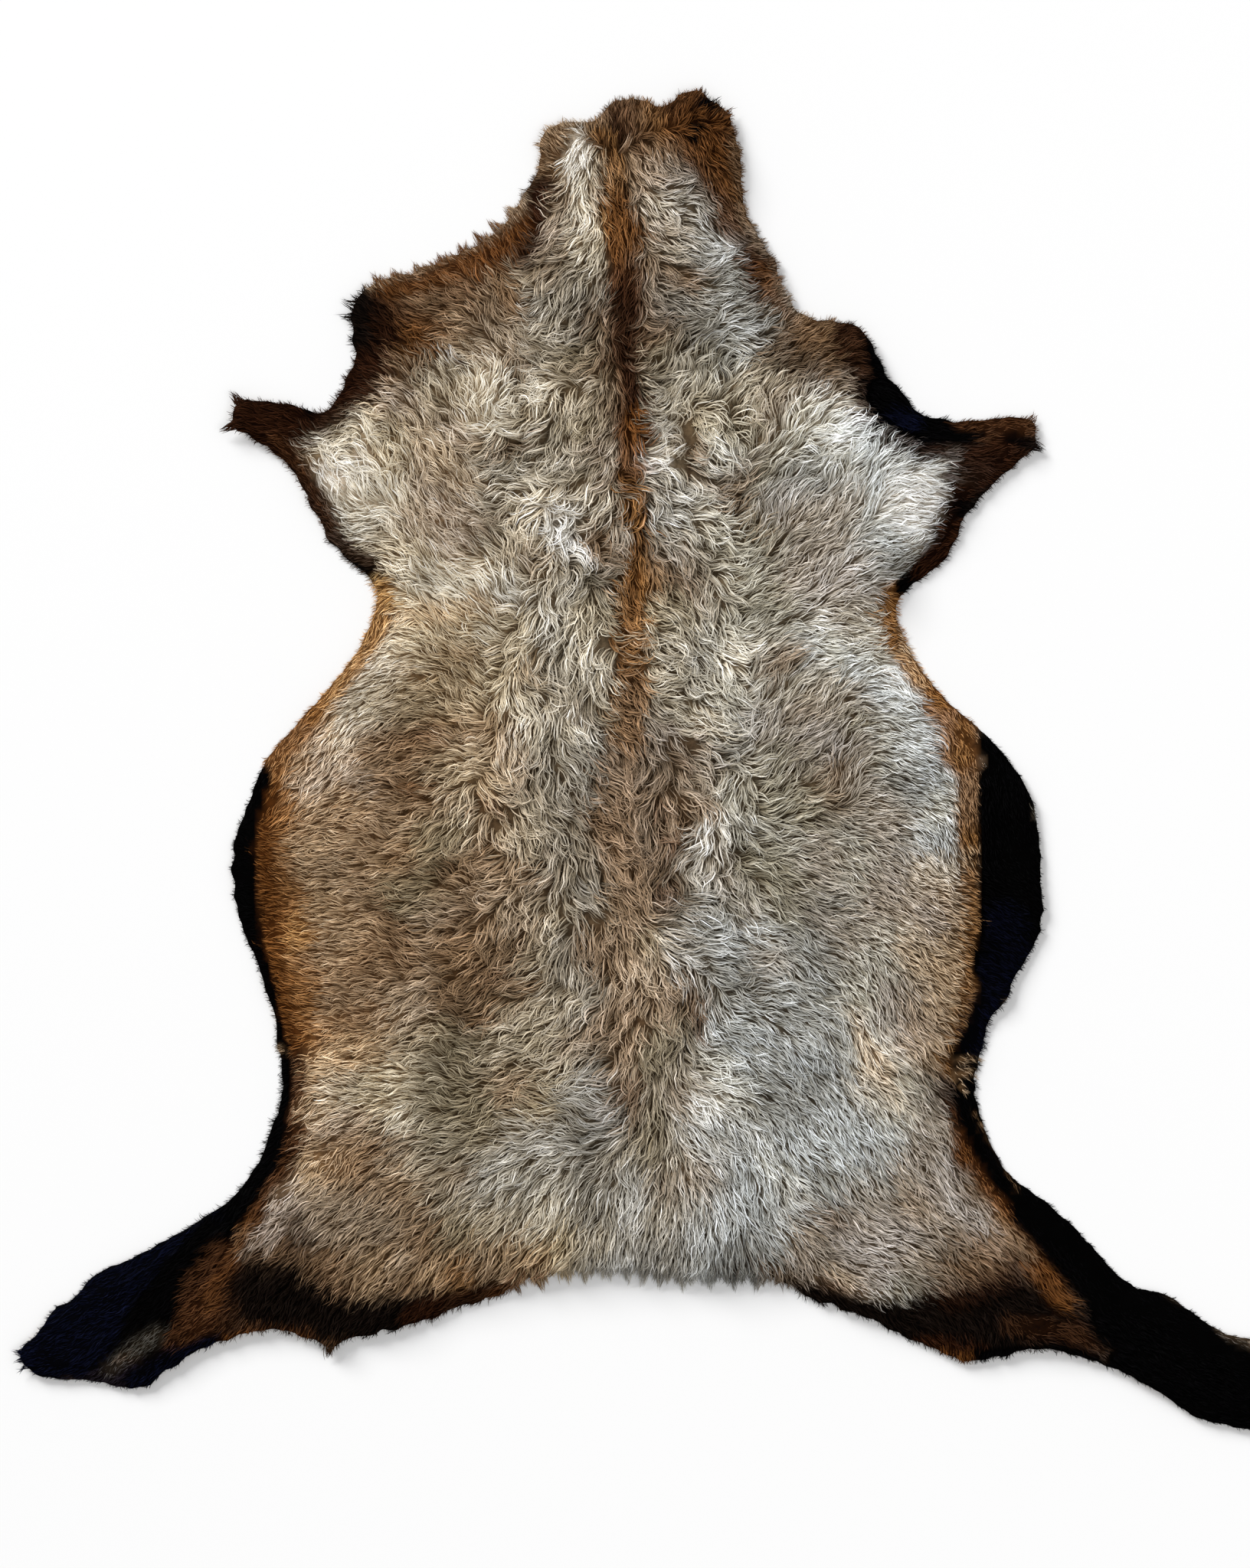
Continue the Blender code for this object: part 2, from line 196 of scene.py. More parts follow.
# The way that the wool lies
FLOW = rows(Way, (
    (-75, 505, 130), (-90, 490, 160), (-58, 495, -115), (-48, 450, -110), (-30, 525, 95), (-5, 530, 80),
    (25, 540, 70), (40, 545, 60), (62, 535, 30), (50, 510, -60), (70, 500, -20), (60, 475, -62),
    (75, 460, -55), (58, 440, -65), (15, 500, -70), (-72, 440, -112), (-70, 400, -120), (-60, 360, -150),
    (-25, 480, -75), (-20, 440, -65), (-12, 405, -115), (-22, 360, -105), (-18, 300, -95),
    (-14, 250, -80), (-10, 200, -95), (-6, 150, -100), (-12, 100, -85), (-12, 50, -85), (18, 470, 2),
    (30, 430, -4), (55, 430, -45), (70, 410, 20), (60, 390, 4), (92, 385, 10), (30, 385, -8),
    (80, 350, 2), (25, 355, 20), (100, 415, 8), (112, 380, 22), (15, 325, 40), (35, 325, 62),
    (60, 320, 68), (100, 330, 35), (140, 350, 28), (172, 350, 25), (175, 325, -8), (150, 300, 18),
    (190, 300, -25), (205, 285, -20), (120, 290, 60), (90, 285, 75), (160, 275, 40), (185, 265, 52),
    (210, 250, 40), (240, 268, 0), (225, 230, -8), (240, 205, 8), (215, 195, 18), (185, 225, 60),
    (195, 170, 30), (235, 165, 32), (215, 145, 25), (290, 262, 12), (318, 262, 10), (285, 230, -15),
    (262, 205, -20), (8, 285, 10), (20, 275, 35), (8, 245, -12), (30, 230, -28), (50, 207, -42),
    (45, 260, -80), (60, 270, -70), (30, 265, 110), (75, 215, 62), (100, 225, 66), (125, 200, 58),
    (150, 160, 52), (100, 170, 55), (100, 120, 42), (150, 110, 22), (180, 105, 4), (200, 90, -8),
    (100, 70, 45), (150, 60, 38), (180, 60, 18), (130, 30, 46), (50, 170, 10), (30, 170, -60),
    (20, 130, -50), (50, 130, -80), (30, 90, -60), (60, 60, -75), (20, 50, -30), (30, 20, -20),
    (60, 20, -70), (90, 10, 60), (204, 122, -30), (214, 95, -40), (232, 68, -48), (258, 38, -52),
    (220, 45, -6), (230, 10, -12), (255, 10, -78), (268, -25, -85), (262, -55, -75), (240, -30, -20),
    (200, -30, -15), (160, -20, 70), (150, -45, -25), (110, -25, 40), (130, 0, 62), (70, -25, -80),
    (95, -50, -30), (60, -60, -78), (48, -70, -104), (20, -70, -70), (8, -30, -110), (100, -75, 10),
    (130, -95, -20), (180, -100, -36), (220, -130, -42), (240, -165, -32), (262, -120, -16),
    (262, -180, -24), (262, -222, -34), (150, -140, -18), (100, -130, -10), (60, -110, -30),
    (60, -140, -20), (40, -100, -40), (200, -200, -56), (150, -180, -28), (170, -225, -60),
    (200, -260, -46), (235, -280, -40), (100, -190, -20), (80, -230, -30), (120, -260, -38),
    (60, -270, -42), (35, -285, -55), (12, -150, -88), (30, -160, -42), (0, -130, -60), (40, -205, -80),
    (15, -210, -70), (0, -250, -108), (0, -300, -97), (0, -350, -92), (30, -350, -76), (60, -325, -60),
    (60, -400, -86), (90, -360, -70), (105, -330, -56), (115, -400, -62), (140, -360, -24),
    (150, -330, -50), (200, -330, -46), (200, -380, -26), (175, -412, -18), (220, -425, -30),
    (250, -350, -46), (250, -400, -36), (280, -370, -44), (300, -400, -42), (320, -420, -46),
    (260, -440, -36), (150, -432, -38), (200, -455, -40), (230, -472, -45), (258, -482, -75),
    (290, -488, -95), (330, -455, -22), (380, -478, -30), (420, -490, -30), (480, -510, -24),
    (350, -400, -48), (400, -450, -38), (450, -470, -28), (505, -525, -12), (300, -350, -56),
    (272, -300, -68), (-50, -350, -118), (-90, -350, -128), (-60, -400, -108), (-100, -405, -122),
    (-150, -400, -140), (-150, -350, -146), (-200, -380, -141), (-200, -330, -156), (-250, -350, -146),
    (-250, -400, -140), (-230, -435, -132), (-280, -380, -136), (-300, -350, -128), (-310, -400, -140),
    (-320, -432, -132), (-350, -430, -150), (-380, -460, -142), (-420, -485, -142), (-440, -450, -152),
    (-500, -485, -165), (-300, -460, -108), (-265, -478, -118), (-200, -455, -134), (-130, -436, -142),
    (-80, -421, -122), (-30, -418, -100), (-30, -300, -140), (-60, -290, 178), (-100, -300, 172),
    (-150, -300, -170), (-150, -250, 170), (-200, -250, 176), (-200, -200, 174), (-250, -250, -176),
    (-270, -300, -160), (-290, -255, -168), (-250, -200, 176), (-300, -205, 166), (-305, -150, 158),
    (-308, -90, 160), (-330, -100, 178), (-330, -60, 150), (-302, 0, -122), (-318, -30, -115),
    (-270, 0, -150), (-250, -30, -154), (-250, -80, -178), (-200, 0, 176), (-200, -50, 180),
    (-200, -100, 176), (-200, -150, 178), (-150, 0, 140), (-150, -40, -150), (-180, 50, -168),
    (-230, 60, -154), (-200, 95, 178), (-165, 90, 150), (-150, 60, 130), (-180, 72, -152),
    (-218, 115, -118), (-248, 75, -128), (-280, 35, -128), (-215, 142, -160), (-200, 150, 150),
    (-150, 150, 136), (-150, 200, 124), (-180, 180, 130), (-205, 195, 148), (-230, 180, 168),
    (-250, 200, 174), (-265, 182, 165), (-270, 260, 142), (-250, 240, 122), (-220, 235, 112),
    (-225, 262, 70), (-205, 270, 120), (-180, 250, 115), (-250, 270, 160), (-310, 275, 176),
    (-335, 280, 170), (-290, 245, 150), (-275, 210, 160), (-245, 330, 160), (-225, 360, 166),
    (-200, 340, 162), (-170, 350, 152), (-150, 380, 150), (-130, 400, 140), (-180, 398, 150),
    (-232, 388, 136), (-112, 430, 132), (-92, 455, 128), (-112, 375, 115), (-120, 350, 128),
    (-150, 330, 150), (-205, 310, 162), (-130, 300, 108), (-170, 290, 120), (-100, 300, 95),
    (-100, 270, -120), (-80, 330, 150), (-70, 290, -120), (-50, 330, 170), (-45, 270, -150),
    (-60, 235, -150), (-35, 225, -100), (-85, 215, 175), (-70, 195, -60), (-95, 195, -140),
    (-55, 180, -70), (-35, 165, 30), (-60, 150, -120), (-110, 180, 120), (-120, 130, 130),
    (-60, 110, -75), (-35, 100, -85), (-90, 100, -110), (-80, 60, -70), (-100, 40, -85), (-40, 50, -85),
    (-80, 0, -88), (-40, 0, -80), (-80, -50, -80), (-110, -50, -100), (-118, -20, -60), (-45, -60, -95),
    (-50, -100, -75), (-100, -100, -160), (-150, -100, 178), (-90, -140, -165), (-50, -150, -125),
    (-50, -190, -150), (-100, -200, 178), (-150, -200, 175), (-50, -240, -165), (-100, -250, 178),
    (-50, -270, 180), (-20, -100, -80), (-20, -150, -95), (-20, -200, -105), (-60, 410, -120),
    (-45, 390, -120),
))

# How much a lock turns from root to tip
TURNS = rows(Way, (
    (-35, 130, 85), (-35, 90, 95), (-35, 40, 90), (-35, -20, 60), (-35, -80, 85), (-40, -120, 70),
    (-45, -170, 40), (-80, 60, 25), (-80, 0, -20), (-80, -80, 40), (12, 285, 60), (25, 270, 70),
    (12, 240, -20), (45, 210, -10), (40, 262, 110), (60, 280, -60), (60, 320, -40), (30, 325, 30),
    (-45, 180, -120), (-70, 205, -90), (-95, 200, 80), (-60, 290, 70), (-45, 340, 50), (-100, 290, -60),
    (10, 130, -30), (15, 40, 80), (15, 0, -70), (50, -70, -60), (30, -160, 40), (15, -150, 30),
    (-20, 420, -50), (20, 450, 5), (80, 380, 5), (150, 160, -10), (200, 220, -30), (150, 290, -70),
    (130, 270, -60), (230, 0, 0), (230, -150, -10), (150, -250, -15), (250, -380, -15), (0, -350, 0),
    (60, -380, -15), (-60, -380, 20), (-200, -380, 15), (-280, -380, 15), (-150, -300, 15),
    (-200, -100, 0), (-250, 0, 0), (-230, 60, 0), (-180, 90, -30), (-150, 170, 10), (-250, 230, -50),
    (-225, 262, 130), (-200, 340, -20), (-150, 380, -20), (-118, -30, 120), (-100, 420, 0),
    (-60, 480, 10), (50, 510, 0), (0, 520, 20), (300, 262, 0), (-310, 275, 0), (170, 340, -15),
    (400, -470, 0), (-420, -470, 0), (100, 20, 20), (110, 100, -10), (100, -60, 10), (120, -120, -30),
))

# The main colours of the wool, and the places where each of them shows
PLACES = {
    "white": (
        (161, 279), (-256, 240), (222, 236), (242, 230), (226, 216), (-74, 205), (216, 200), (201, 65),
        (226, 20), (46, -286),
    ),
    "pale": (
        (-131, 306), (-110, 295), (146, 286), (60, 260), (12, 248), (-211, 226), (-241, 225), (-81, 215),
        (45, 210), (-121, 150), (-150, 145), (150, 104), (-50, 90), (147, 90), (-110, 56), (-98, 34),
        (-70, 25), (241, -36), (52, -66), (181, -226), (61, -246), (61, -281), (-201, -291), (116, -341),
        (-85, -366),
    ),
    "cream": (
        (-55, 480), (-42, 430), (38, 308), (130, 280), (120, 265), (-260, 256), (-201, 254), (246, 246),
        (64, 186), (-181, 150), (86, 146), (-196, 140), (-51, 120), (-101, 110), (34, 108), (28, 98),
        (76, 90), (-115, 80), (20, 62), (65, 56), (66, -26), (181, -191), (-91, -226), (-196, -261),
        (216, -261),
    ),
    "silver": (
        (33, 455), (42, 436), (57, 416), (-91, 370), (82, 348), (152, 300), (176, 264), (186, 254),
        (221, 252), (206, 226), (186, 220), (-226, 206), (20, 205), (-241, 200), (-65, 188), (194, 180),
        (-76, 126), (-80, 102), (131, 90), (171, 80), (186, 60), (221, 40), (-46, 28), (214, 20),
        (236, 0), (231, -20), (236, -60), (46, -115), (46, -141), (95, -146), (61, -150), (26, -170),
        (61, -226), (86, -236), (136, -240), (-46, -275), (-29, -301), (36, -301), (151, -301),
        (181, -301), (56, -306), (131, -311), (-61, -316), (166, -321), (-101, -326), (-131, -331),
        (81, -341), (-111, -346), (-81, -351), (96, -351), (-11, -361), (61, -366), (41, -381),
        (111, -386), (46, -411), (-20, -416),
    ),
    "greige": (
        (-58, 496), (-50, 462), (14, 450), (28, 420), (-39, 410), (-97, 400), (-86, 354), (26, 318),
        (-151, 310), (-75, 310), (-171, 306), (-58, 300), (20, 300), (52, 300), (-141, 285), (-110, 275),
        (76, 262), (110, 262), (156, 256), (-60, 236), (8, 230), (-45, 206), (-105, 200), (-231, 182),
        (-111, 180), (44, 180), (-201, 160), (-81, 150), (72, 150), (-110, 130), (60, 115), (110, 115),
        (186, 110), (-131, 100), (12, 88), (191, 88), (-51, 65), (95, 60), (120, 60), (76, 44), (21, 40),
        (206, 22), (191, 0), (81, -10), (-95, -40), (-150, -51), (90, -52), (75, -60), (176, -60),
        (121, -65), (-101, -71), (-51, -81), (171, -95), (41, -100), (-75, -131), (196, -160),
        (-91, -161), (176, -166), (-71, -201), (-101, -206), (-121, -231), (-81, -241), (-181, -251),
        (-75, -266), (200, -280), (76, -286), (-101, -291), (-166, -311), (26, -321), (-181, -331),
        (-15, -331), (-161, -361), (5, -371), (-121, -376), (-41, -401), (211, -431),
    ),
    "grey": (
        (76, 414), (-46, 381), (24, 374), (58, 371), (62, 352), (-65, 350), (-86, 330), (14, 282),
        (-71, 250), (140, 250), (197, 246), (116, 226), (26, 225), (140, 225), (-125, 215), (176, 192),
        (186, 156), (46, 90), (-91, 50), (72, 20), (-81, 10), (-71, -10), (-51, -16), (206, -20),
        (-71, -61), (31, -80), (-71, -111), (31, -125), (26, -141), (131, -156), (119, -190), (-50, -200),
        (76, -211), (145, -216), (111, -241), (146, -251), (105, -266), (130, -290), (191, -346),
        (146, -351), (-131, -356), (-30, -371), (101, -380), (-16, -391), (26, -401), (106, -401),
    ),
    "ash": (
        (-60, 400), (64, 396), (50, 390), (76, 390), (98, 378), (-71, 375), (106, 354), (40, 350),
        (62, 328), (-81, 276), (-101, 260), (-116, 246), (206, 161), (-51, 145), (-72, 80), (41, 40),
        (62, 10), (-55, 5), (-61, -36), (-46, -111), (151, -115), (121, -141), (-60, -151), (81, -171),
        (56, -176), (141, -176), (-60, -179), (141, -276), (-61, -281), (-51, -301), (146, -331),
        (-46, -336), (-51, -371), (81, -386), (80, -421), (62, -425),
    ),
    "pink": (
        (24, 470), (-76, 440), (-201, 300), (-151, 270), (-171, 215), (110, 210), (-151, 200),
        (-151, 175), (171, 155), (141, 140), (161, 140), (181, 130), (156, 120), (-216, 60), (-241, 50),
        (95, 25), (-111, 20), (16, 20), (-266, 15), (151, 15), (-266, -10), (-241, -10), (216, -90),
        (236, -130), (206, -196), (226, -221), (-246, -287), (241, -331), (251, -361), (-281, -371),
        (271, -381), (161, -396), (181, -401), (201, -401), (291, -401), (191, -421),
    ),
    "peach": (
        (-181, 265), (-161, 240), (-200, 120), (-211, 95), (-200, 80), (-256, 30), (-131, 5), (-126, -11),
        (236, -90), (-10, -175), (186, -251), (201, -261), (-251, -271), (-271, -356),
    ),
    "sand": (
        (46, 280), (-211, 275), (82, 275), (-221, 268), (-241, 266), (20, 118), (-151, 106), (-181, 100),
        (5, -151), (-226, -271), (-86, -281), (5, -311), (-71, -396),
    ),
    "taupe": (
        (14, 488), (-65, 460), (14, 428), (-76, 424), (-81, 405), (114, 370), (-121, 350), (-101, 335),
        (136, 320), (-226, 310), (140, 304), (100, 272), (36, 263), (-271, 262), (-45, 256), (94, 250),
        (-186, 240), (-30, 225), (62, 222), (150, 208), (130, 198), (-181, 195), (-131, 190), (155, 180),
        (131, 170), (-95, 165), (46, 160), (121, 150), (50, 134), (-95, 75), (106, 64), (150, 62),
        (171, 54), (-56, 41), (116, 35), (46, 10), (131, 10), (176, 10), (12, 4), (-101, -16), (41, -16),
        (-150, -30), (181, -30), (196, -50), (-131, -61), (150, -71), (206, -72), (61, -76), (-31, -81),
        (131, -85), (66, -100), (-81, -101), (150, -101), (191, -102), (186, -108), (-111, -121),
        (-171, -126), (141, -130), (12, -131), (86, -131), (-91, -141), (166, -146), (101, -161),
        (-186, -186), (216, -194), (-201, -201), (-60, -236), (236, -270), (26, -271), (240, -290),
        (231, -311), (-201, -321), (56, -331), (216, -331), (36, -336), (-154, -341), (16, -351),
        (181, -361), (-256, -371), (-236, -376), (-216, -381), (236, -386), (146, -406), (236, -411),
        (-201, -414),
    ),
    "fawn": (
        (-76, 506), (-12, 500), (-5, 480), (56, 450), (-121, 376), (-146, 366), (-114, 366), (-166, 350),
        (-191, 322), (112, 300), (90, 296), (-138, 124), (106, 80), (-171, 70), (-145, 60), (136, 48),
        (-226, 15), (-150, 10), (-282, 0), (-216, 0), (-166, -10), (10, -20), (-171, -36), (-221, -40),
        (-276, -46), (-251, -51), (-201, -51), (-241, -82), (-241, -104), (-251, -151), (-271, -161),
        (15, -198), (-256, -201), (-20, -201), (-31, -216), (-10, -231), (231, -241), (-111, -271),
        (-276, -276), (-246, -311), (-201, -351), (216, -351), (-191, -371), (221, -371), (130, -396),
        (-131, -419),
    ),
    "tan": (
        (-171, 120), (-151, 80), (-161, 40), (-131, 30), (-250, -26), (-261, -76), (-271, -92),
        (-271, -116), (-261, -131), (246, -140), (226, -150), (241, -166), (10, -175), (241, -200),
        (-231, -236), (-271, -251), (-241, -251), (-271, -341), (-216, -401), (-111, -406), (-86, -406),
        (-226, -421), (-171, -421), (161, -421),
    ),
    "olive": (
        (14, 334), (50, 334), (-56, 330), (84, 324), (70, 290), (-51, 281), (100, 236), (86, 200),
        (96, 185), (62, 160), (-57, 156), (101, 131), (30, 130), (76, 125), (-35, 120), (-31, 40),
        (166, 35), (110, -5), (105, -26), (121, -40), (141, -50), (-181, -61), (-161, -62), (102, -80),
        (86, -86), (-181, -91), (111, -96), (-201, -111), (-15, -111), (71, -116), (111, -126),
        (-159, -224), (21, -226), (-151, -241), (8, -242), (-156, -271), (11, -286), (-146, -291),
        (-151, -386),
    ),
    "golden": ((-166, 90),),
    "caramel": ((14, 527), (70, 472), (147, 345), (-195, 342), (6, 150), (300, -381), (-151, -424)),
    "rust": ((28, 528), (70, 498), (-181, 346), (-334, -386)),
    "umber": (
        (-172, 340), (-5, 522), (-40, 518), (10, 512), (40, 502), (-78, 490), (45, 478), (58, 465),
        (74, 448), (90, 428), (8, 402), (-126, 400), (36, 395), (106, 392), (-171, 390), (-190, 385),
        (-155, 376), (-182, 365), (-41, 355), (10, 350), (134, 345), (118, 338), (102, 335), (155, 325),
        (-214, 320), (-41, 320), (120, 318), (158, 309), (-31, 302), (-285, 250), (-275, 235), (256, 230),
        (76, 220), (-41, 176), (31, 160), (-181, 26), (-201, 15), (-171, 10), (26, 0), (161, -11),
        (-203, -16), (-191, -26), (-118, -36), (158, -36), (50, -40), (31, -50), (-41, -56), (20, -66),
        (-201, -81), (-131, -81), (10, -90), (-161, -91), (-101, -91), (8, -111), (-221, -121),
        (-151, -131), (-15, -136), (-201, -141), (-231, -146), (-111, -151), (-151, -161), (-36, -161),
        (-231, -166), (-196, -171), (-131, -176), (-101, -184), (-161, -191), (-136, -206), (41, -206),
        (-241, -216), (-15, -286), (-226, -321), (-241, -341), (281, -351), (156, -381), (-186, -396),
        (246, -396), (311, -400), (-271, -411), (261, -411), (286, -416), (111, -420), (250, -423),
        (-191, -430),
    ),
    "brown": (
        (30, 545), (-20, 530), (42, 530), (60, 498), (-115, 425), (-131, 416), (97, 408), (-150, 398),
        (-210, 385), (-200, 362), (165, 340), (170, 320), (-240, 310), (-330, 286), (-340, 280),
        (276, 272), (256, 270), (-290, 266), (312, 260), (262, 215), (266, -321), (-305, -322),
        (-320, -400), (331, -421), (-261, -440), (150, -440), (-380, -460),
    ),
    "dark": (
        (55, 520), (-305, 280), (300, 274), (276, 258), (292, 255), (266, 244), (250, 194), (-290, -396),
        (-350, -420), (-310, -421), (281, -430), (-300, -441), (301, -441), (321, -441), (340, -470),
    ),
}


class Patch(NamedTuple):
    """An oval of one tint, whose edge is soft and uneven."""

    across: float
    along: float
    length: float
    width: float
    angle: float
    tint: str
    strength: float

    def cover(self, x, y):
        """How much of each place the oval hides."""
        turn = math.radians(self.angle)
        along = (x - self.across) * math.cos(turn) + (y - self.along) * math.sin(turn)
        across = (y - self.along) * math.cos(turn) - (x - self.across) * math.sin(turn)
        far = np.hypot(along / self.length, across / self.width)
        return self.strength * smooth(PATCH_REACH - far)


class Band(NamedTuple):
    """A strip of one tint along a line. soft is how far its edge fades, outwards from its half width."""

    tint: str
    half: float
    soft: float
    strength: float
    line: tuple

    def cover(self, x, y):
        """How much of each place the strip hides."""
        return self.strength * smooth(1 - (from_line(self.line, x, y) - self.half) / self.soft)


BANDS = rows(Band, (
    ("pale", 5, 9, 0.8, ((-62, 506), (-58, 490), (-52, 470), (-48, 445))),
    ("caramel", 5, 11, 0.9, ((-32, 508), (-28, 480), (-23, 450), (-17, 425))),
    ("rust", 5, 11, 0.8, ((-24, 455), (-18, 430), (-16, 410), (-16, 385))),
    ("brown", 9, 15, 0.85, ((-16, 410), (-18, 370), (-18, 330), (-16, 300), (-13, 275))),
    ("dark", 5, 11, 0.85, ((-15, 395), (-18, 365), (-17, 330), (-15, 295))),
    ("rust", 6, 9, 0.9, ((-14, 290), (-11, 250), (-8, 225), (-6, 205))),
    ("caramel", 4, 8, 0.85, ((-9, 225), (-6, 200), (-3, 180), (-3, 150))),
    ("caramel", 4, 9, 0.8, ((-3, 195), (-4, 165), (-4, 145), (-8, 120), (-12, 90), (-12, 65))),
    ("caramel", 7, 12, 0.85, ((-8, 140), (-12, 90), (-13, 50), (-14, 20))),
    ("brown", 2, 8, 0.55, ((-3, 190), (-6, 150), (-11, 110), (-14, 80), (-14, 40))),
    ("umber", 6, 18, 0.6, ((-13, 60), (-18, 0), (-22, -30), (-20, -70), (-14, -110))),
    ("fawn", 6, 18, 0.5, ((-14, -100), (-16, -150), (-20, -200), (-22, -240))),
    ("brown", 9, 18, 0.8, ((-105, 442), (-125, 418), (-150, 398), (-168, 388))),
    ("umber", 8, 18, 0.6, ((-165, 385), (-185, 380), (-205, 375))),
    ("orange", 8, 26, 0.85, (
        (-304, -30), (-300, -60), (-298, -110), (-293, -150), (-289, -190), (-284, -225),
    )),
    ("tan", 8, 32, 0.7, ((264, -125), (258, -160), (253, -190), (246, -228))),
    ("tan", 8, 16, 0.5, ((-216, 118), (-226, 95), (-246, 68))),
    ("rust", 5, 10, 0.7, ((-300, -290), (-308, -322), (-326, -362), (-345, -398))),
    ("brown", 4, 12, 0.85, ((-289, -250), (-290, -290), (-302, -330), (-322, -368))),
    ("brown", 3, 9, 0.75, ((-284, -255), (-283, -290), (-290, -325))),
    ("umber", 9, 16, 0.5, ((-240, -440), (-262, -428), (-285, -414), (-305, -405), (-335, -398))),
    ("umber", 8, 16, 0.8, ((255, -425), (280, -415), (305, -400))),
    ("brown", 4, 12, 0.9, ((259, -285), (274, -322), (296, -354), (318, -382), (340, -408))),
    ("rust", 8, 12, 0.6, ((262, -300), (276, -326), (298, -356), (320, -384), (344, -414))),
    ("umber", 8, 14, 0.7, ((150, 345), (165, 325), (178, 305))),
))

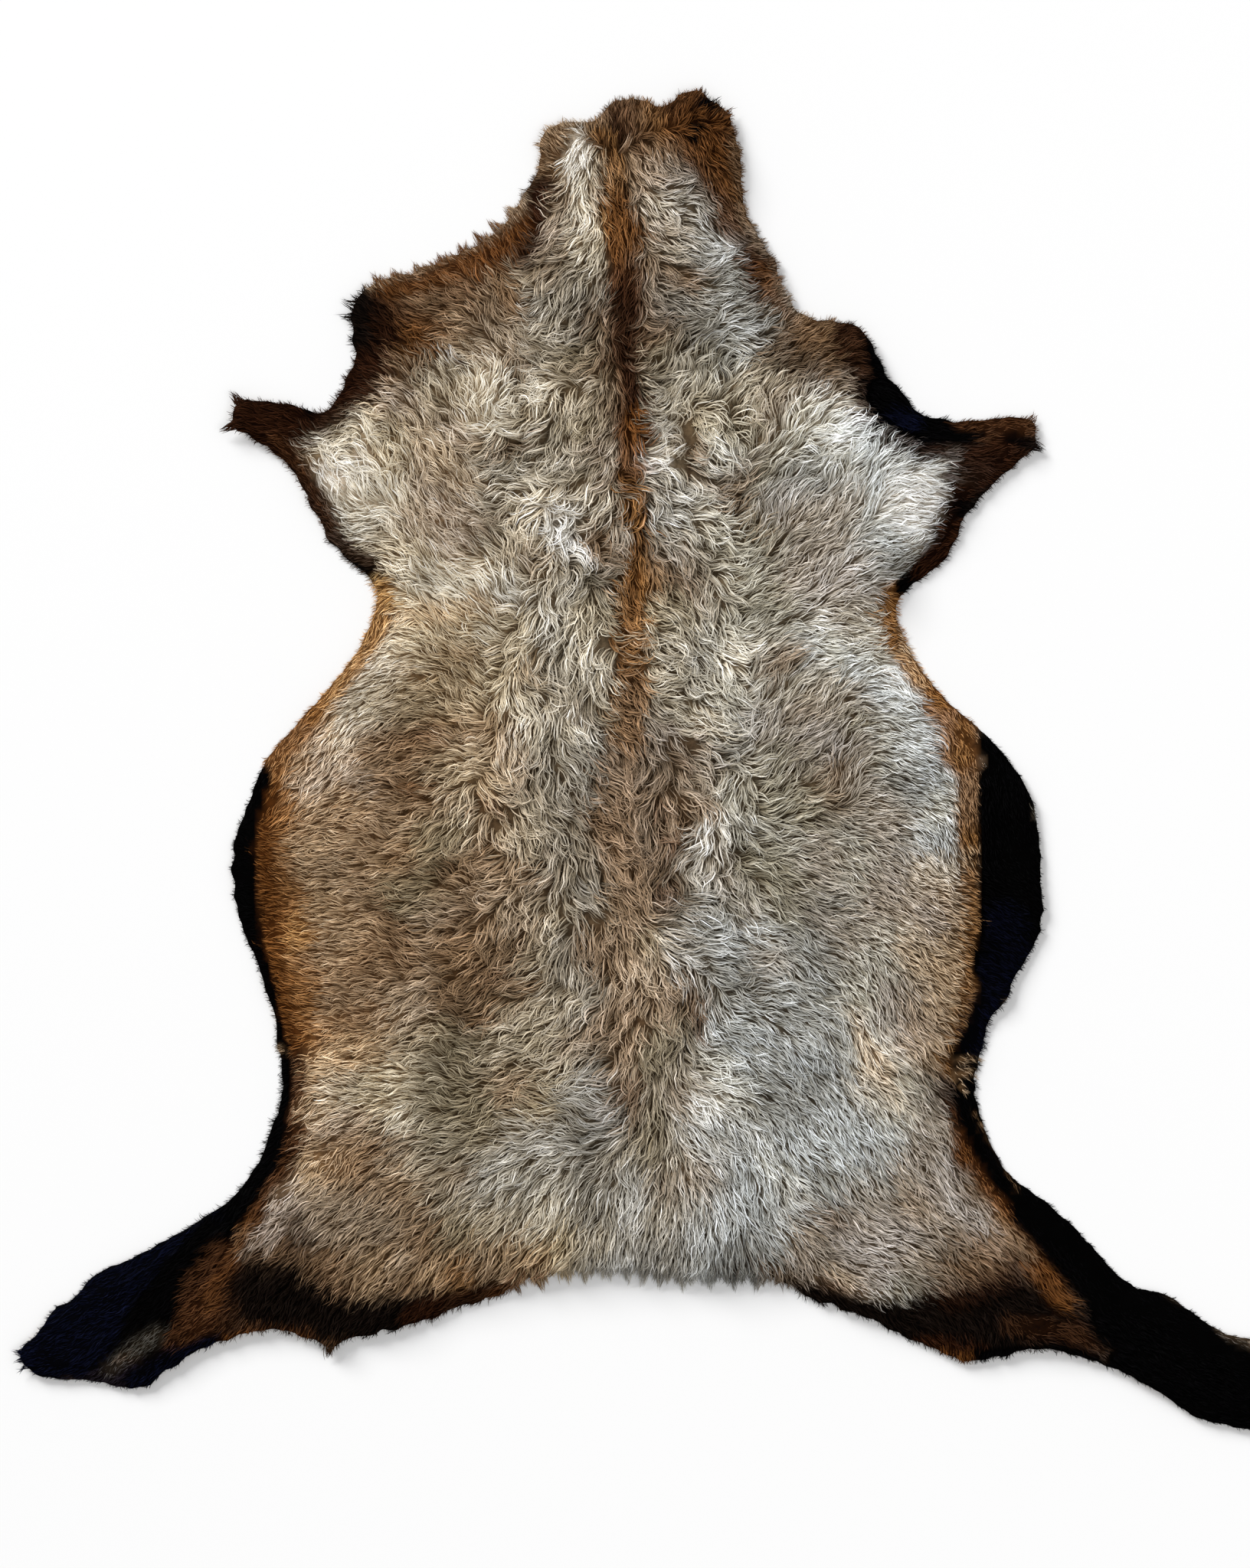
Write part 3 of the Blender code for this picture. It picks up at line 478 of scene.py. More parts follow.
PATCHES = rows(Patch, (
    (-82, 503, 18, 8, 90, "umber", 0.7), (-26, 523, 9, 5, 100, "dark", 0.85),
    (-36, 501, 6, 4, 0, "dark", 0.7), (-28, 537, 5, 4, 0, "dark", 0.6),
    (-38, 445, 12, 6, 80, "golden", 0.5), (56, 500, 46, 15, 98, "rust", 0.7),
    (56, 542, 8, 5, -60, "black", 1.0), (51, 517, 9, 4, 90, "black", 1.0),
    (66, 440, 22, 7, 100, "brown", 0.6), (52, 464, 26, 9, 108, "brown", 0.65),
    (-57, 498, 15, 8, 96, "white", 0.7), (6, 247, 10, 8, 0, "white", 0.6),
    (-89, 452, 24, 8, 96, "dark", 0.95), (-98, 430, 16, 8, 110, "dark", 0.85),
    (91, 410, 26, 10, 112, "dark", 0.85), (110, 388, 26, 7, 115, "rust", 0.6),
    (38, 393, 14, 8, 20, "umber", 0.5), (85, 347, 14, 7, 10, "silver", 0.6),
    (-112, 380, 18, 7, 90, "caramel", 0.5), (-112, 131, 15, 9, 0, "white", 0.6),
    (-303, -376, 30, 8, 52, "pink", 0.6), (-60, 158, 22, 8, 20, "ash", 0.6),
    (22, 176, 14, 8, -50, "ash", 0.5), (-58, 34, 20, 9, -50, "pale", 0.5),
    (40, 36, 26, 9, -30, "cream", 0.5), (-66, 462, 18, 6, 95, "taupe", 0.6),
    (-41, 448, 20, 5, 85, "pale", 0.5), (-148, 400, 26, 11, 20, "rust", 0.5),
    (-229, 362, 27, 19, 95, "soot", 0.95), (-210, 388, 20, 10, 20, "brown", 0.7),
    (-190, 337, 13, 7, 0, "rust", 0.7), (-205, 360, 16, 12, 90, "brown", 0.7),
    (-160, 320, 6, 5, 0, "white", 0.8), (-147, 318, 8, 6, 0, "brown", 0.6),
    (-101, 328, 7, 5, 0, "umber", 0.6), (140, 350, 20, 8, 5, "caramel", 0.5),
    (-110, 262, 14, 6, 20, "umber", 0.7), (-95, 278, 7, 4, 0, "brown", 0.7),
    (-118, -32, 9, 7, 0, "brown", 0.6), (-179, 26, 14, 8, -20, "brown", 0.45),
    (-187, -28, 12, 7, -20, "rust", 0.45), (-215, -124, 12, 7, 0, "brown", 0.4),
    (-115, -174, 12, 5, 0, "brown", 0.4), (-132, -211, 12, 5, 0, "brown", 0.35),
    (-98, 76, 9, 6, 0, "umber", 0.6), (40, 248, 14, 6, 75, "umber", 0.6),
    (80, 218, 20, 8, 80, "umber", 0.5), (94, 190, 14, 6, -45, "umber", 0.5),
    (108, 76, 16, 6, 40, "fawn", 0.5), (9, -111, 11, 5, 80, "dark", 0.7),
    (20, -68, 11, 6, 60, "brown", 0.6), (12, -30, 7, 5, 60, "brown", 0.6),
    (43, -210, 15, 6, 90, "brown", 0.55), (-15, -268, 14, 8, -20, "rust", 0.35),
    (52, -66, 9, 10, 0, "white", 0.5), (-45, -345, 10, 6, 80, "ash", 0.5),
    (-40, 174, 10, 8, 0, "umber", 0.5), (-246, 236, 18, 13, 60, "white", 0.5),
    (221, 219, 22, 18, 60, "white", 0.5), (-76, 207, 20, 8, -20, "white", 0.6),
    (266, -78, 6, 3, 20, "tan", 0.7), (-121, 297, 24, 18, 80, "pale", 0.7),
    (-68, 186, 20, 12, 110, "white", 0.7), (-145, 142, 42, 11, -5, "pale", 0.8),
    (-222, 58, 38, 16, 62, "pale", 0.7), (-175, 98, 46, 13, 8, "cream", 0.5),
    (-236, 212, 20, 18, 60, "pale", 0.6), (-265, 264, 10, 8, 0, "pale", 0.5),
    (-80, 310, 10, 8, 0, "pale", 0.5), (-165, 58, 60, 18, 10, "sand", 0.55),
    (-35, 68, 9, 10, 0, "cream", 0.5), (66, 300, 46, 14, 10, "cream", 0.45),
    (168, 305, 14, 9, -40, "pale", 0.5), (212, 212, 20, 26, 0, "white", 0.6),
    (248, 248, 12, 8, 20, "white", 0.6), (165, 120, 20, 16, 0, "greige", 0.5),
    (139, 68, 20, 14, 0, "greige", 0.5), (77, 81, 12, 12, 0, "pale", 0.6),
    (92, 0, 20, 20, 0, "greige", 0.35), (-151, -15, 22, 18, 0, "sand", 0.4),
    (-262, -85, 18, 22, 0, "tan", 0.6), (-252, -130, 26, 40, 0, "tan", 0.4),
    (-160, -285, 26, 34, 0, "olive", 0.5), (188, -240, 34, 11, -65, "peach", 0.8),
    (-284, -138, 9, 16, 0, "amber", 0.5), (-151, -131, 16, 14, 0, "fawn", 0.4),
    (-241, -267, 18, 12, 0, "cream", 0.5), (-86, -305, 20, 14, 0, "silver", 0.4),
    (-15, -357, 16, 20, 0, "silver", 0.4), (120, -351, 16, 14, 0, "silver", 0.35),
    (40, 460, 22, 12, 100, "ash", 0.5), (-145, 404, 34, 12, 22, "brown", 0.75),
    (-178, 388, 24, 12, 15, "umber", 0.6), (-183, 350, 14, 9, 0, "rust", 0.6),
    (-228, 345, 20, 16, 90, "dark", 0.85), (-244, 312, 24, 12, 70, "dark", 0.8),
    (-48, 368, 16, 9, 80, "umber", 0.5), (90, 410, 16, 8, 100, "brown", 0.5),
    (176, 345, 16, 12, 60, "brown", 0.8), (139, 356, 16, 9, 0, "umber", 0.7),
    (101, 322, 14, 10, 0, "mink", 0.6), (250, 262, 20, 11, -25, "dark", 0.9),
    (-312, 281, 24, 9, 5, "rust", 0.35), (-20, -60, 14, 60, 0, "umber", 0.4),
    (210, -106, 24, 20, 0, "taupe", 0.4), (250, -270, 9, 24, 10, "dark", 0.85),
    (-6, 518, 16, 10, 0, "brown", 0.5), (-232, 268, 22, 12, 30, "pale", 0.6),
    (-305, 280, 44, 16, 5, "dark", 0.85), (305, 268, 26, 10, -10, "brown", 0.6),
    (-302, -434, 28, 19, -30, "soot", 0.85), (-358, -420, 22, 14, 50, "brown", 0.7),
    (236, -420, 28, 8, -20, "taupe", 0.4), (150, 336, 34, 20, 0, "mink", 0.65),
    (172, 325, 20, 12, -60, "mink", 0.7),
))

# Rims and edges: these come last, over all the rest
RIMS = rows(Band, (
    ("dark", 4, 7, 0.9, ((-82, 476), (-90, 458), (-100, 442), (-112, 432))),
    ("brown", 4, 13, 0.8, ((-112, 432), (-130, 421), (-152, 410), (-178, 400), (-205, 392))),
    ("rust", 4, 11, 0.5, ((-100, 440), (-130, 416), (-152, 405), (-178, 394), (-210, 386))),
    ("fawn", 5, 9, 0.75, ((-108, 456), (-126, 440), (-152, 424), (-191, 408), (-222, 400), (-238, 388))),
    ("soot", 9, 9, 1.0, ((-240, 378), (-239, 352), (-236, 330), (-244, 312))),
    ("black", 4, 5, 1.0, ((-252, 382), (-250, 360), (-244, 330), (-252, 310))),
    ("soot", 7, 6, 1.0, ((-258, 296), (-246, 306), (-240, 322))),
    ("dark", 10, 14, 0.9, ((-275, 288), (-252, 292), (-236, 304), (-228, 322))),
    ("black", 4, 5, 1.0, ((-337, 303), (-325, 298), (-300, 293), (-278, 287))),
    ("dark", 10, 8, 0.95, ((-338, 292), (-315, 285), (-292, 282))),
    ("dark", 8, 8, 0.9, ((-335, 276), (-312, 266), (-298, 255))),
    ("dark", 10, 10, 0.95, (
        (-314, 258), (-294, 240), (-282, 220), (-271, 198), (-260, 182), (-244, 168), (-230, 158),
    )),
    ("brown", 2, 7, 0.6, ((-304, 268), (-284, 248), (-268, 218), (-256, 196))),
    ("soot", 2, 5, 0.9, ((-296, 228), (-284, 204), (-270, 184), (-254, 170), (-238, 160))),
    ("black", 4, 4, 0.95, ((-238, 160), (-228, 153), (-222, 148))),
    ("golden", 4, 6, 0.8, ((-220, 146), (-212, 140), (-207, 130))),
    ("amber", 6, 9, 0.85, ((-218, 138), (-216, 116), (-228, 94), (-250, 68), (-276, 40))),
    ("orange", 7, 14, 0.85, ((-276, 40), (-298, 14), (-310, -8), (-312, -20))),
    ("rust", 6, 14, 0.95, (
        (-314, -30), (-312, -60), (-313, -110), (-309, -150), (-302, -190), (-294, -232),
    )),
    ("black", 12, 4, 1.0, (
        (-322, -12), (-329, -40), (-332, -70), (-333, -98), (-332, -120), (-326, -140),
    )),
    ("black", 9, 4, 1.0, ((-328, -130), (-321, -155), (-314, -185), (-308, -215), (-303, -240))),
    ("tan", 3, 4, 0.6, ((-303, -238), (-296, -246))),
    ("black", 8, 6, 1.0, ((-299, -250), (-299, -275), (-304, -300))),
    ("black", 12, 6, 1.0, ((-306, -300), (-318, -328), (-335, -354), (-352, -380))),
    ("black", 27, 6, 1.0, ((-368, -390), (-388, -413), (-413, -438), (-443, -460), (-473, -478))),
    ("black", 26, 6, 1.0, ((-432, -434), (-462, -453), (-492, -478), (-502, -493))),
    ("navy", 26, 12, 1.0, ((-374, -396), (-420, -430), (-460, -458), (-500, -488))),
    ("navy", 14, 8, 0.9, ((-470, -490), (-440, -510), (-415, -512), (-390, -498))),
    ("black", 14, 8, 1.0, ((-356, -392), (-376, -416), (-402, -446), (-414, -476))),
    ("brown", 10, 10, 0.65, ((-348, -408), (-360, -430), (-370, -456))),
    ("rust", 1, 9, 0.35, ((-340, -404), (-350, -424), (-358, -448))),
    ("soot", 8, 22, 0.9, ((-322, -436), (-298, -438), (-272, -450))),
    ("ash", 2, 10, 0.22, ((-400, -470), (-420, -486), (-438, -498))),
    ("black", 6, 7, 1.0, ((-350, -482), (-375, -490), (-395, -500), (-418, -512))),
    ("navy", 7, 8, 0.9, ((-360, -484), (-385, -496), (-415, -512))),
    ("soot", 10, 14, 0.9, ((-318, -446), (-300, -448), (-280, -450), (-262, -458))),
    ("brown", 4, 8, 0.8, (
        (-330, -474), (-300, -472), (-276, -476), (-262, -488), (-246, -480), (-225, -474),
    )),
    ("rust", 3, 5, 0.75, ((-345, -480), (-300, -476), (-276, -480), (-262, -492), (-246, -484))),
    ("soot", 10, 15, 1.0, ((-262, -460), (-235, -459), (-205, -457), (-180, -453))),
    ("dark", 8, 9, 0.95, ((-185, -458), (-150, -446), (-125, -438))),
    ("brown", 4, 8, 0.9, ((-125, -440), (-95, -429), (-70, -426))),
    ("dark", 3, 5, 0.7, ((38, -430), (66, -428), (96, -429), (124, -435))),
    ("soot", 7, 9, 1.0, ((118, -438), (140, -443), (170, -452), (205, -461))),
    ("soot", 15, 9, 1.0, ((195, -463), (225, -466), (260, -463), (300, -466))),
    ("soot", 11, 12, 1.0, ((225, -455), (270, -449), (305, -447), (335, -453))),
    ("rust", 5, 10, 0.6, ((322, -418), (335, -430), (346, -442))),
    ("dark", 5, 14, 0.6, ((250, -438), (275, -428), (300, -418))),
    ("dark", 8, 8, 1.0, ((232, -482), (254, -487), (278, -489))),
    ("rust", 2, 6, 0.6, ((240, -488), (256, -492), (270, -492))),
    ("black", 6, 5, 1.0, ((280, -490), (310, -488), (340, -490), (370, -497))),
    ("brown", 4, 9, 0.35, ((300, -462), (325, -464), (355, -469), (385, -480))),
    ("black", 11, 6, 1.0, ((262, -246), (266, -262), (272, -290), (284, -318), (300, -342), (325, -366))),
    ("black", 21, 9, 1.0, ((326, -368), (353, -398), (380, -426), (409, -452), (440, -480))),
    ("black", 27, 12, 1.0, ((395, -455), (430, -475), (465, -500), (500, -520))),
    ("black", 20, 5, 1.0, ((400, -500), (440, -520), (480, -538), (512, -545))),
    ("mink", 0.5, 2, 0.7, ((273, -286), (281, -302), (297, -335), (310, -354))),
    ("amber", 6, 9, 0.9, ((206, 137), (202, 116), (207, 98), (224, 76), (246, 52))),
    ("orange", 5, 6, 0.8, ((203, 140), (199, 118), (204, 100))),
    ("orange", 9, 12, 0.9, ((244, 50), (254, 28), (259, 5))),
    ("caramel", 8, 11, 0.9, ((264, 25), (267, -5), (270, -35), (270, -62))),
    ("caramel", 3, 10, 0.9, (
        (270, -60), (269, -100), (270, -150), (266, -190), (259, -225), (251, -250),
    )),
    ("umber", 3, 5, 0.7, ((76, 535), (78, 510), (80, 480), (86, 448))),
    ("peach", 3, 4, 0.5, ((212, 108), (217, 90))),
    ("black", 11, 4, 1.0, ((286, 14), (296, 0), (305, -20))),
    ("black", 23, 4, 1.0, ((299, -20), (301, -60), (299, -100), (299, -140), (293, -170))),
    ("black", 14, 4, 1.0, ((316, -60), (319, -100), (319, -140), (306, -165))),
    ("black", 10, 5, 1.0, ((286, -180), (281, -205), (271, -230), (262, -244))),
    ("navy", 12, 10, 0.6, ((296, -130), (300, -155), (282, -200), (274, -225))),
    ("tan", 1.5, 3, 0.85, ((254, -250), (270, -244))),
    ("tan", 1.5, 3, 0.85, ((255, -254), (271, -256))),
    ("tan", 1, 3, 0.8, ((254, -258), (267, -268))),
    ("soot", 0.5, 2, 0.9, ((254, -252), (270, -250))),
    ("tan", 1.5, 3, 0.8, ((261, -74), (274, -70))),
    ("tan", 1, 3, 0.7, ((262, -84), (273, -84))),
    ("soot", 0.5, 2.5, 0.9, ((260, -79), (275, -77))),
    ("black", 8, 6, 1.0, ((214, 144), (224, 149), (240, 162), (253, 180), (260, 198))),
    ("dark", 6, 8, 0.95, ((228, 157), (246, 174), (256, 196), (261, 220))),
    ("black", 5, 5, 0.95, ((262, 208), (277, 220), (294, 234), (310, 243))),
    ("dark", 12, 10, 0.9, ((262, 235), (282, 245), (300, 252))),
    ("black", 4, 4, 0.9, ((306, 262), (320, 255), (328, 250))),
    ("dark", 10, 12, 0.9, ((174, 350), (178, 328), (184, 306), (200, 282), (232, 262))),
    ("black", 6, 8, 1.0, ((188, 352), (192, 330), (199, 312), (211, 297))),
    ("black", 14, 8, 1.0, ((196, 302), (212, 286), (235, 278), (262, 277))),
    ("navy", 5, 6, 0.9, ((205, 286), (222, 281))),
    ("brown", 5, 7, 0.8, ((262, 282), (290, 284), (318, 284))),
))


class Shade(NamedTuple):
    """How much lighter, or darker below 1, the wool is about a place: partly its own tone, partly painted
    light.
    """

    across: float
    along: float
    share: float


# Partly painted light: a soft painted highlight over the left shoulder and flank, and painted shade along
# the lower rims of the rump and hind legs; the rest are the wool's own lighter and darker tones
SHADES = rows(Shade, (
    (-120, 292, 1.42), (-72, 190, 1.36), (-150, 142, 1.60), (-180, 90, 1.40), (-235, 215, 1.45),
    (-235, 50, 1.40), (-110, 60, 1.08), (-60, 120, 0.92), (-170, 220, 1.15), (-200, 280, 1.15),
    (-60, 300, 1.15), (60, 295, 1.05), (158, 300, 1.35), (110, 235, 1.00), (210, 222, 1.35),
    (248, 250, 1.45), (165, 115, 1.26), (110, 60, 1.04), (80, 80, 0.90), (30, 200, 0.88), (30, 300, 0.90),
    (-250, -60, 1.35), (-200, -20, 1.10), (-150, -90, 1.05), (-250, -150, 1.30), (-100, -200, 1.00),
    (100, -200, 0.94), (200, -100, 0.90), (60, -110, 0.90), (0, -300, 0.88), (100, -300, 0.95),
    (-165, -285, 0.85), (-245, -265, 1.30), (-90, -300, 1.10), (230, -350, 1.05), (-150, -400, 0.92),
    (0, -400, 0.98), (150, -400, 0.93), (-15, 350, 0.75), (-15, 250, 0.85), (-12, 150, 0.75),
    (-15, 50, 0.75), (-18, -60, 0.75), (-18, 10, 0.75), (50, 465, 0.75), (-20, 450, 0.85),
    (-60, 440, 1.00), (-120, 168, 0.88), (-218, 62, 1.35), (15, 465, 1.15), (80, 430, 1.10),
    (60, 385, 0.98), (140, 345, 0.70), (-145, 404, 0.65), (-180, 385, 0.75), (-240, 370, 0.60),
    (-215, 350, 0.75), (-300, 275, 0.80), (-275, 205, 0.70), (290, 260, 0.90), (-300, -440, 0.65),
    (-240, -455, 0.90), (200, -450, 0.75), (300, -445, 0.60), (285, -385, 1.10), (272, -422, 0.60),
    (265, -120, 0.85), (265, 0, 0.90), (-305, -150, 0.90), (-100, 380, 1.05), (60, 0, 0.95),
    (150, -20, 0.95),
))


class Zone(NamedTuple):
    """How the wool grows about a place: its length, and how curly it is, from 0 to 1."""

    across: float
    along: float
    length: float
    curl: float


ZONES = rows(Zone, (
    (0, 520, 20, 0.35), (50, 520, 16, 0.2), (60, 460, 18, 0.25), (-75, 500, 16, 0.2),
    (-60, 440, 24, 0.55), (20, 440, 22, 0.55), (60, 390, 22, 0.5), (100, 400, 18, 0.3),
    (-20, 400, 22, 0.45), (-20, 300, 20, 0.4), (-10, 150, 20, 0.4), (-12, 50, 24, 0.5),
    (-60, 330, 26, 0.8), (50, 310, 28, 0.7), (-100, 280, 28, 0.9), (60, 260, 28, 0.85),
    (-60, 190, 32, 1.0), (40, 180, 27, 0.9), (-50, 90, 32, 0.8), (30, 90, 28, 0.9), (-80, 0, 32, 0.7),
    (40, 0, 28, 1.0), (-50, -100, 32, 0.7), (50, -70, 30, 0.9), (-40, -200, 30, 0.7), (40, -160, 32, 0.6),
    (20, -220, 28, 0.7), (0, -320, 34, 0.4), (0, -400, 34, 0.2), (80, -380, 34, 0.2),
    (-80, -380, 30, 0.3), (-120, -30, 28, 0.6), (110, -30, 26, 0.6), (130, -110, 26, 0.3),
    (110, 60, 26, 0.45), (120, 150, 25, 0.35), (-130, 150, 27, 0.5), (-130, -120, 25, 0.7),
    (-140, -250, 24, 0.6), (130, -230, 28, 0.3), (150, 270, 28, 0.7), (200, 220, 28, 0.35),
    (-240, 235, 28, 0.75), (-180, 270, 24, 0.6), (-160, 200, 25, 0.35), (-200, 170, 25, 0.4),
    (-170, 90, 22, 0.35), (-180, 0, 22, 0.5), (-200, -100, 22, 0.5), (-230, 40, 19, 0.25),
    (-260, -50, 19, 0.25), (-270, -170, 19, 0.2), (-250, -280, 22, 0.25), (-220, -370, 26, 0.2),
    (-290, -370, 24, 0.2), (180, 90, 22, 0.35), (220, 20, 18, 0.15), (180, -50, 22, 0.2),
    (220, -150, 22, 0.2), (200, -250, 26, 0.2), (230, -350, 26, 0.2), (170, -390, 26, 0.2),
    (260, -400, 24, 0.15), (150, -320, 28, 0.2), (-150, -330, 26, 0.35), (-160, -410, 26, 0.2),
    (-220, -450, 20, 0.15), (200, -450, 18, 0.15), (-180, 350, 24, 0.4), (-130, 380, 24, 0.5),
    (-220, 370, 18, 0.25), (-110, 440, 18, 0.3), (160, 330, 20, 0.3), (190, 320, 14, 0.15),
    (-310, 275, 18, 0.15), (300, 260, 16, 0.1), (-270, 200, 16, 0.25), (250, 180, 16, 0.2),
    (-325, -90, 12, 0.05), (300, -80, 10, 0.0), (262, -150, 14, 0.1), (262, 0, 16, 0.1),
    (-250, 70, 15, 0.1), (-300, -200, 15, 0.1), (-340, -440, 20, 0.15), (-420, -450, 13, 0.05),
    (-490, -485, 13, 0.05), (-300, -455, 18, 0.1), (330, -450, 20, 0.15), (340, -400, 14, 0.05),
    (420, -470, 13, 0.05), (500, -520, 13, 0.05), (270, -480, 16, 0.1), (285, -330, 12, 0.0),
))


class Lift(NamedTuple):
    """A place where the hide's rim curls up off the floor."""

    across: float
    along: float
    reach: float
    height: float


LIFTS = rows(Lift, (
    (-400, -470, 70, 5.0), (-320, -470, 50, 4.0), (-210, -465, 50, 4.0), (170, -450, 50, 4.0),
    (330, -470, 60, 5.0), (420, -510, 60, 5.0), (290, -190, 40, 4.0), (320, -20, 40, 3.0),
    (270, 210, 45, 2.0), (-280, 220, 45, 4.0), (110, 400, 40, 3.0), (-315, -190, 45, 3.0),
    (-345, 285, 55, 6.0), (330, 265, 50, 3.0), (60, 545, 50, 5.0), (-520, -490, 60, 5.0),
    (520, -530, 60, 4.0), (330, -110, 60, 3.5), (-345, -95, 50, 3.0), (-250, 385, 45, 4.0),
    (195, 345, 45, 4.0), (-265, -485, 40, 3.0), (255, -492, 40, 3.0), (-80, 515, 35, 4.0),
))

# Where hairs run out to a point: across, along
TIPS = (
    (-338, 305), (-341, 303), (-349, 272), (-346, 274), (-519, -486), (-518, -495), (-514, -502),
    (322, 286), (329, 257), (326, 259), (-262, -491), (-258, -490), (252, -492), (258, -493), (-224, 146),
    (-475, -508), (-103, 466), (-115, 456), (-128, 446), (-141, 437), (-154, 428), (-171, 418),
    (-190, 411), (-208, 406), (-224, 402), (-249, 380), (-251, 366),
)


def linear(tint):
    """A screen colour as the light that it stands for."""
    tint = np.asarray(tint, float)
    return np.where(tint <= 0.04045, tint / 12.92, ((tint + 0.055) / 1.055) ** 2.4)


LIGHT = {name: linear(tint) for name, tint in TINTS.items()}


def at(grid, x, y):
    """The grid's value at places, read between its points."""
    u = np.clip((x - COLUMNS[0]) / STEP, 0, len(COLUMNS) - 1.001)
    v = np.clip((y - ROWS[0]) / STEP, 0, len(ROWS) - 1.001)
    column = u.astype(int)
    row = v.astype(int)
    u = u - column
    v = v - row
    low = grid[row, column] * (1 - u) + grid[row, column + 1] * u
    high = grid[row + 1, column] * (1 - u) + grid[row + 1, column + 1] * u
    return low * (1 - v) + high * v


def blurred(grid, reach):
    """The grid smoothed over a distance."""
    across = np.fft.rfftfreq(grid.shape[1], STEP)
    along = np.fft.fftfreq(grid.shape[0], STEP)
    keep = np.exp(-2 * (math.pi * reach) ** 2 * (across[None, :] ** 2 + along[:, None] ** 2))
    return np.fft.irfft2(np.fft.rfft2(grid) * keep, s=grid.shape)


def mottle(reach):
    """An uneven grid about 0, whose spots are as large as reach."""
    grid = blurred(random.standard_normal((len(ROWS), len(COLUMNS))), reach)
    return (grid - grid.mean()) / grid.std()


def read_heights(node):
    """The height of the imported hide's top over the grid, 0 outside it."""
    corners = [vertex.co for vertex in node.data.vertices]
    faces = [tuple(face.vertices) for face in node.data.polygons]
    tree = BVHTree.FromPolygons(corners, faces)
    down = Vector((0, 0, -1))
    heights = np.zeros((len(ROWS), len(COLUMNS)))
    for row, y in enumerate(ROWS):
        for column, x in enumerate(COLUMNS):
            hit = tree.ray_cast(Vector((x * MM, y * MM, 1.0)), down)[0]
            if hit is not None:
                heights[row, column] = hit.z / MM
    return heights


def distance_inside(mask):
    """How far each place is inside the mask's outline, below 0 outside it."""
    padded = np.pad(mask, 1)
    near_all = padded[:-2, 1:-1] & padded[2:, 1:-1] & padded[1:-1, :-2] & padded[1:-1, 2:]
    rim = np.argwhere(mask & ~near_all)
    tree = KDTree(len(rim))
    for number, (row, column) in enumerate(rim):
        tree.insert((COLUMNS[column], ROWS[row], 0), number)
    tree.balance()
    far = np.empty(mask.shape)
    for row, y in enumerate(ROWS):
        for column, x in enumerate(COLUMNS):
            far[row, column] = tree.find((x, y, 0))[2]
    return np.where(mask, far + STEP / 2, STEP / 2 - far)


def shares(table, x, y, reach):
    """How much each row of a table counts at places: near ones count most."""
    rows = np.array([row[:2] for row in table], float)
    far = (x[:, None] - rows[:, 0]) ** 2 + (y[:, None] - rows[:, 1]) ** 2
    weight = 1.0 / (far + reach * reach) ** 2
    return weight / weight.sum(1, keepdims=True)


def read_table(table, reach, x, y, *fields):
    """The fields of a table's rows, blended at places by how near the rows are."""
    weight = shares(table, x, y, reach)
    return [weight @ np.array([getattr(row, field) for row in table], float) for field in fields]


def flow(x, y):
    """How far the wool runs across and along at places."""
    angles = np.radians([row.angle for row in FLOW])
    weight = shares(FLOW, x, y, FLOW_REACH)
    return weight @ np.cos(angles), weight @ np.sin(angles)


def from_line(line, x, y):
    """The distance of places from a line of points."""
    near = np.full(x.shape, np.inf)
    for (x0, y0), (x1, y1) in zip(line, line[1:]):
        run = (x1 - x0, y1 - y0)
        share = ((x - x0) * run[0] + (y - y0) * run[1]) / (run[0] ** 2 + run[1] ** 2)
        share = np.clip(share, 0, 1)
        near = np.minimum(near, np.hypot(x - x0 - share * run[0], y - y0 - share * run[1]))
    return near


def smooth(share):
    """Eases a share in at 0 and out at 1."""
    share = np.clip(share, 0, 1)
    return share * share * (3 - 2 * share)


def lightness(tint):
    """How much colours count as light wool, on which the painted shade at the roots and in the undercoat is
    weaker and the strands vary less in tone.
    """
    return smooth((tint.mean(1) - 0.32) / 0.2)


def at_rump(x, y, start, half, fade, middle=0):
    """How much places belong to the middle of the rump, beyond a start and within a half width."""
    return smooth((start - y) / 25) * smooth((half - np.abs(x - middle)) / fade)


def with_curl(pair, curl):
    """A value that straight wool has, and what its curls add to it."""
    return pair[0] + pair[1] * curl


def paint(colours, mark, x, y):
    """Lays a band or a patch over the colours at places."""
    colours += mark.cover(x, y)[:, None] * (LIGHT[mark.tint] - colours)


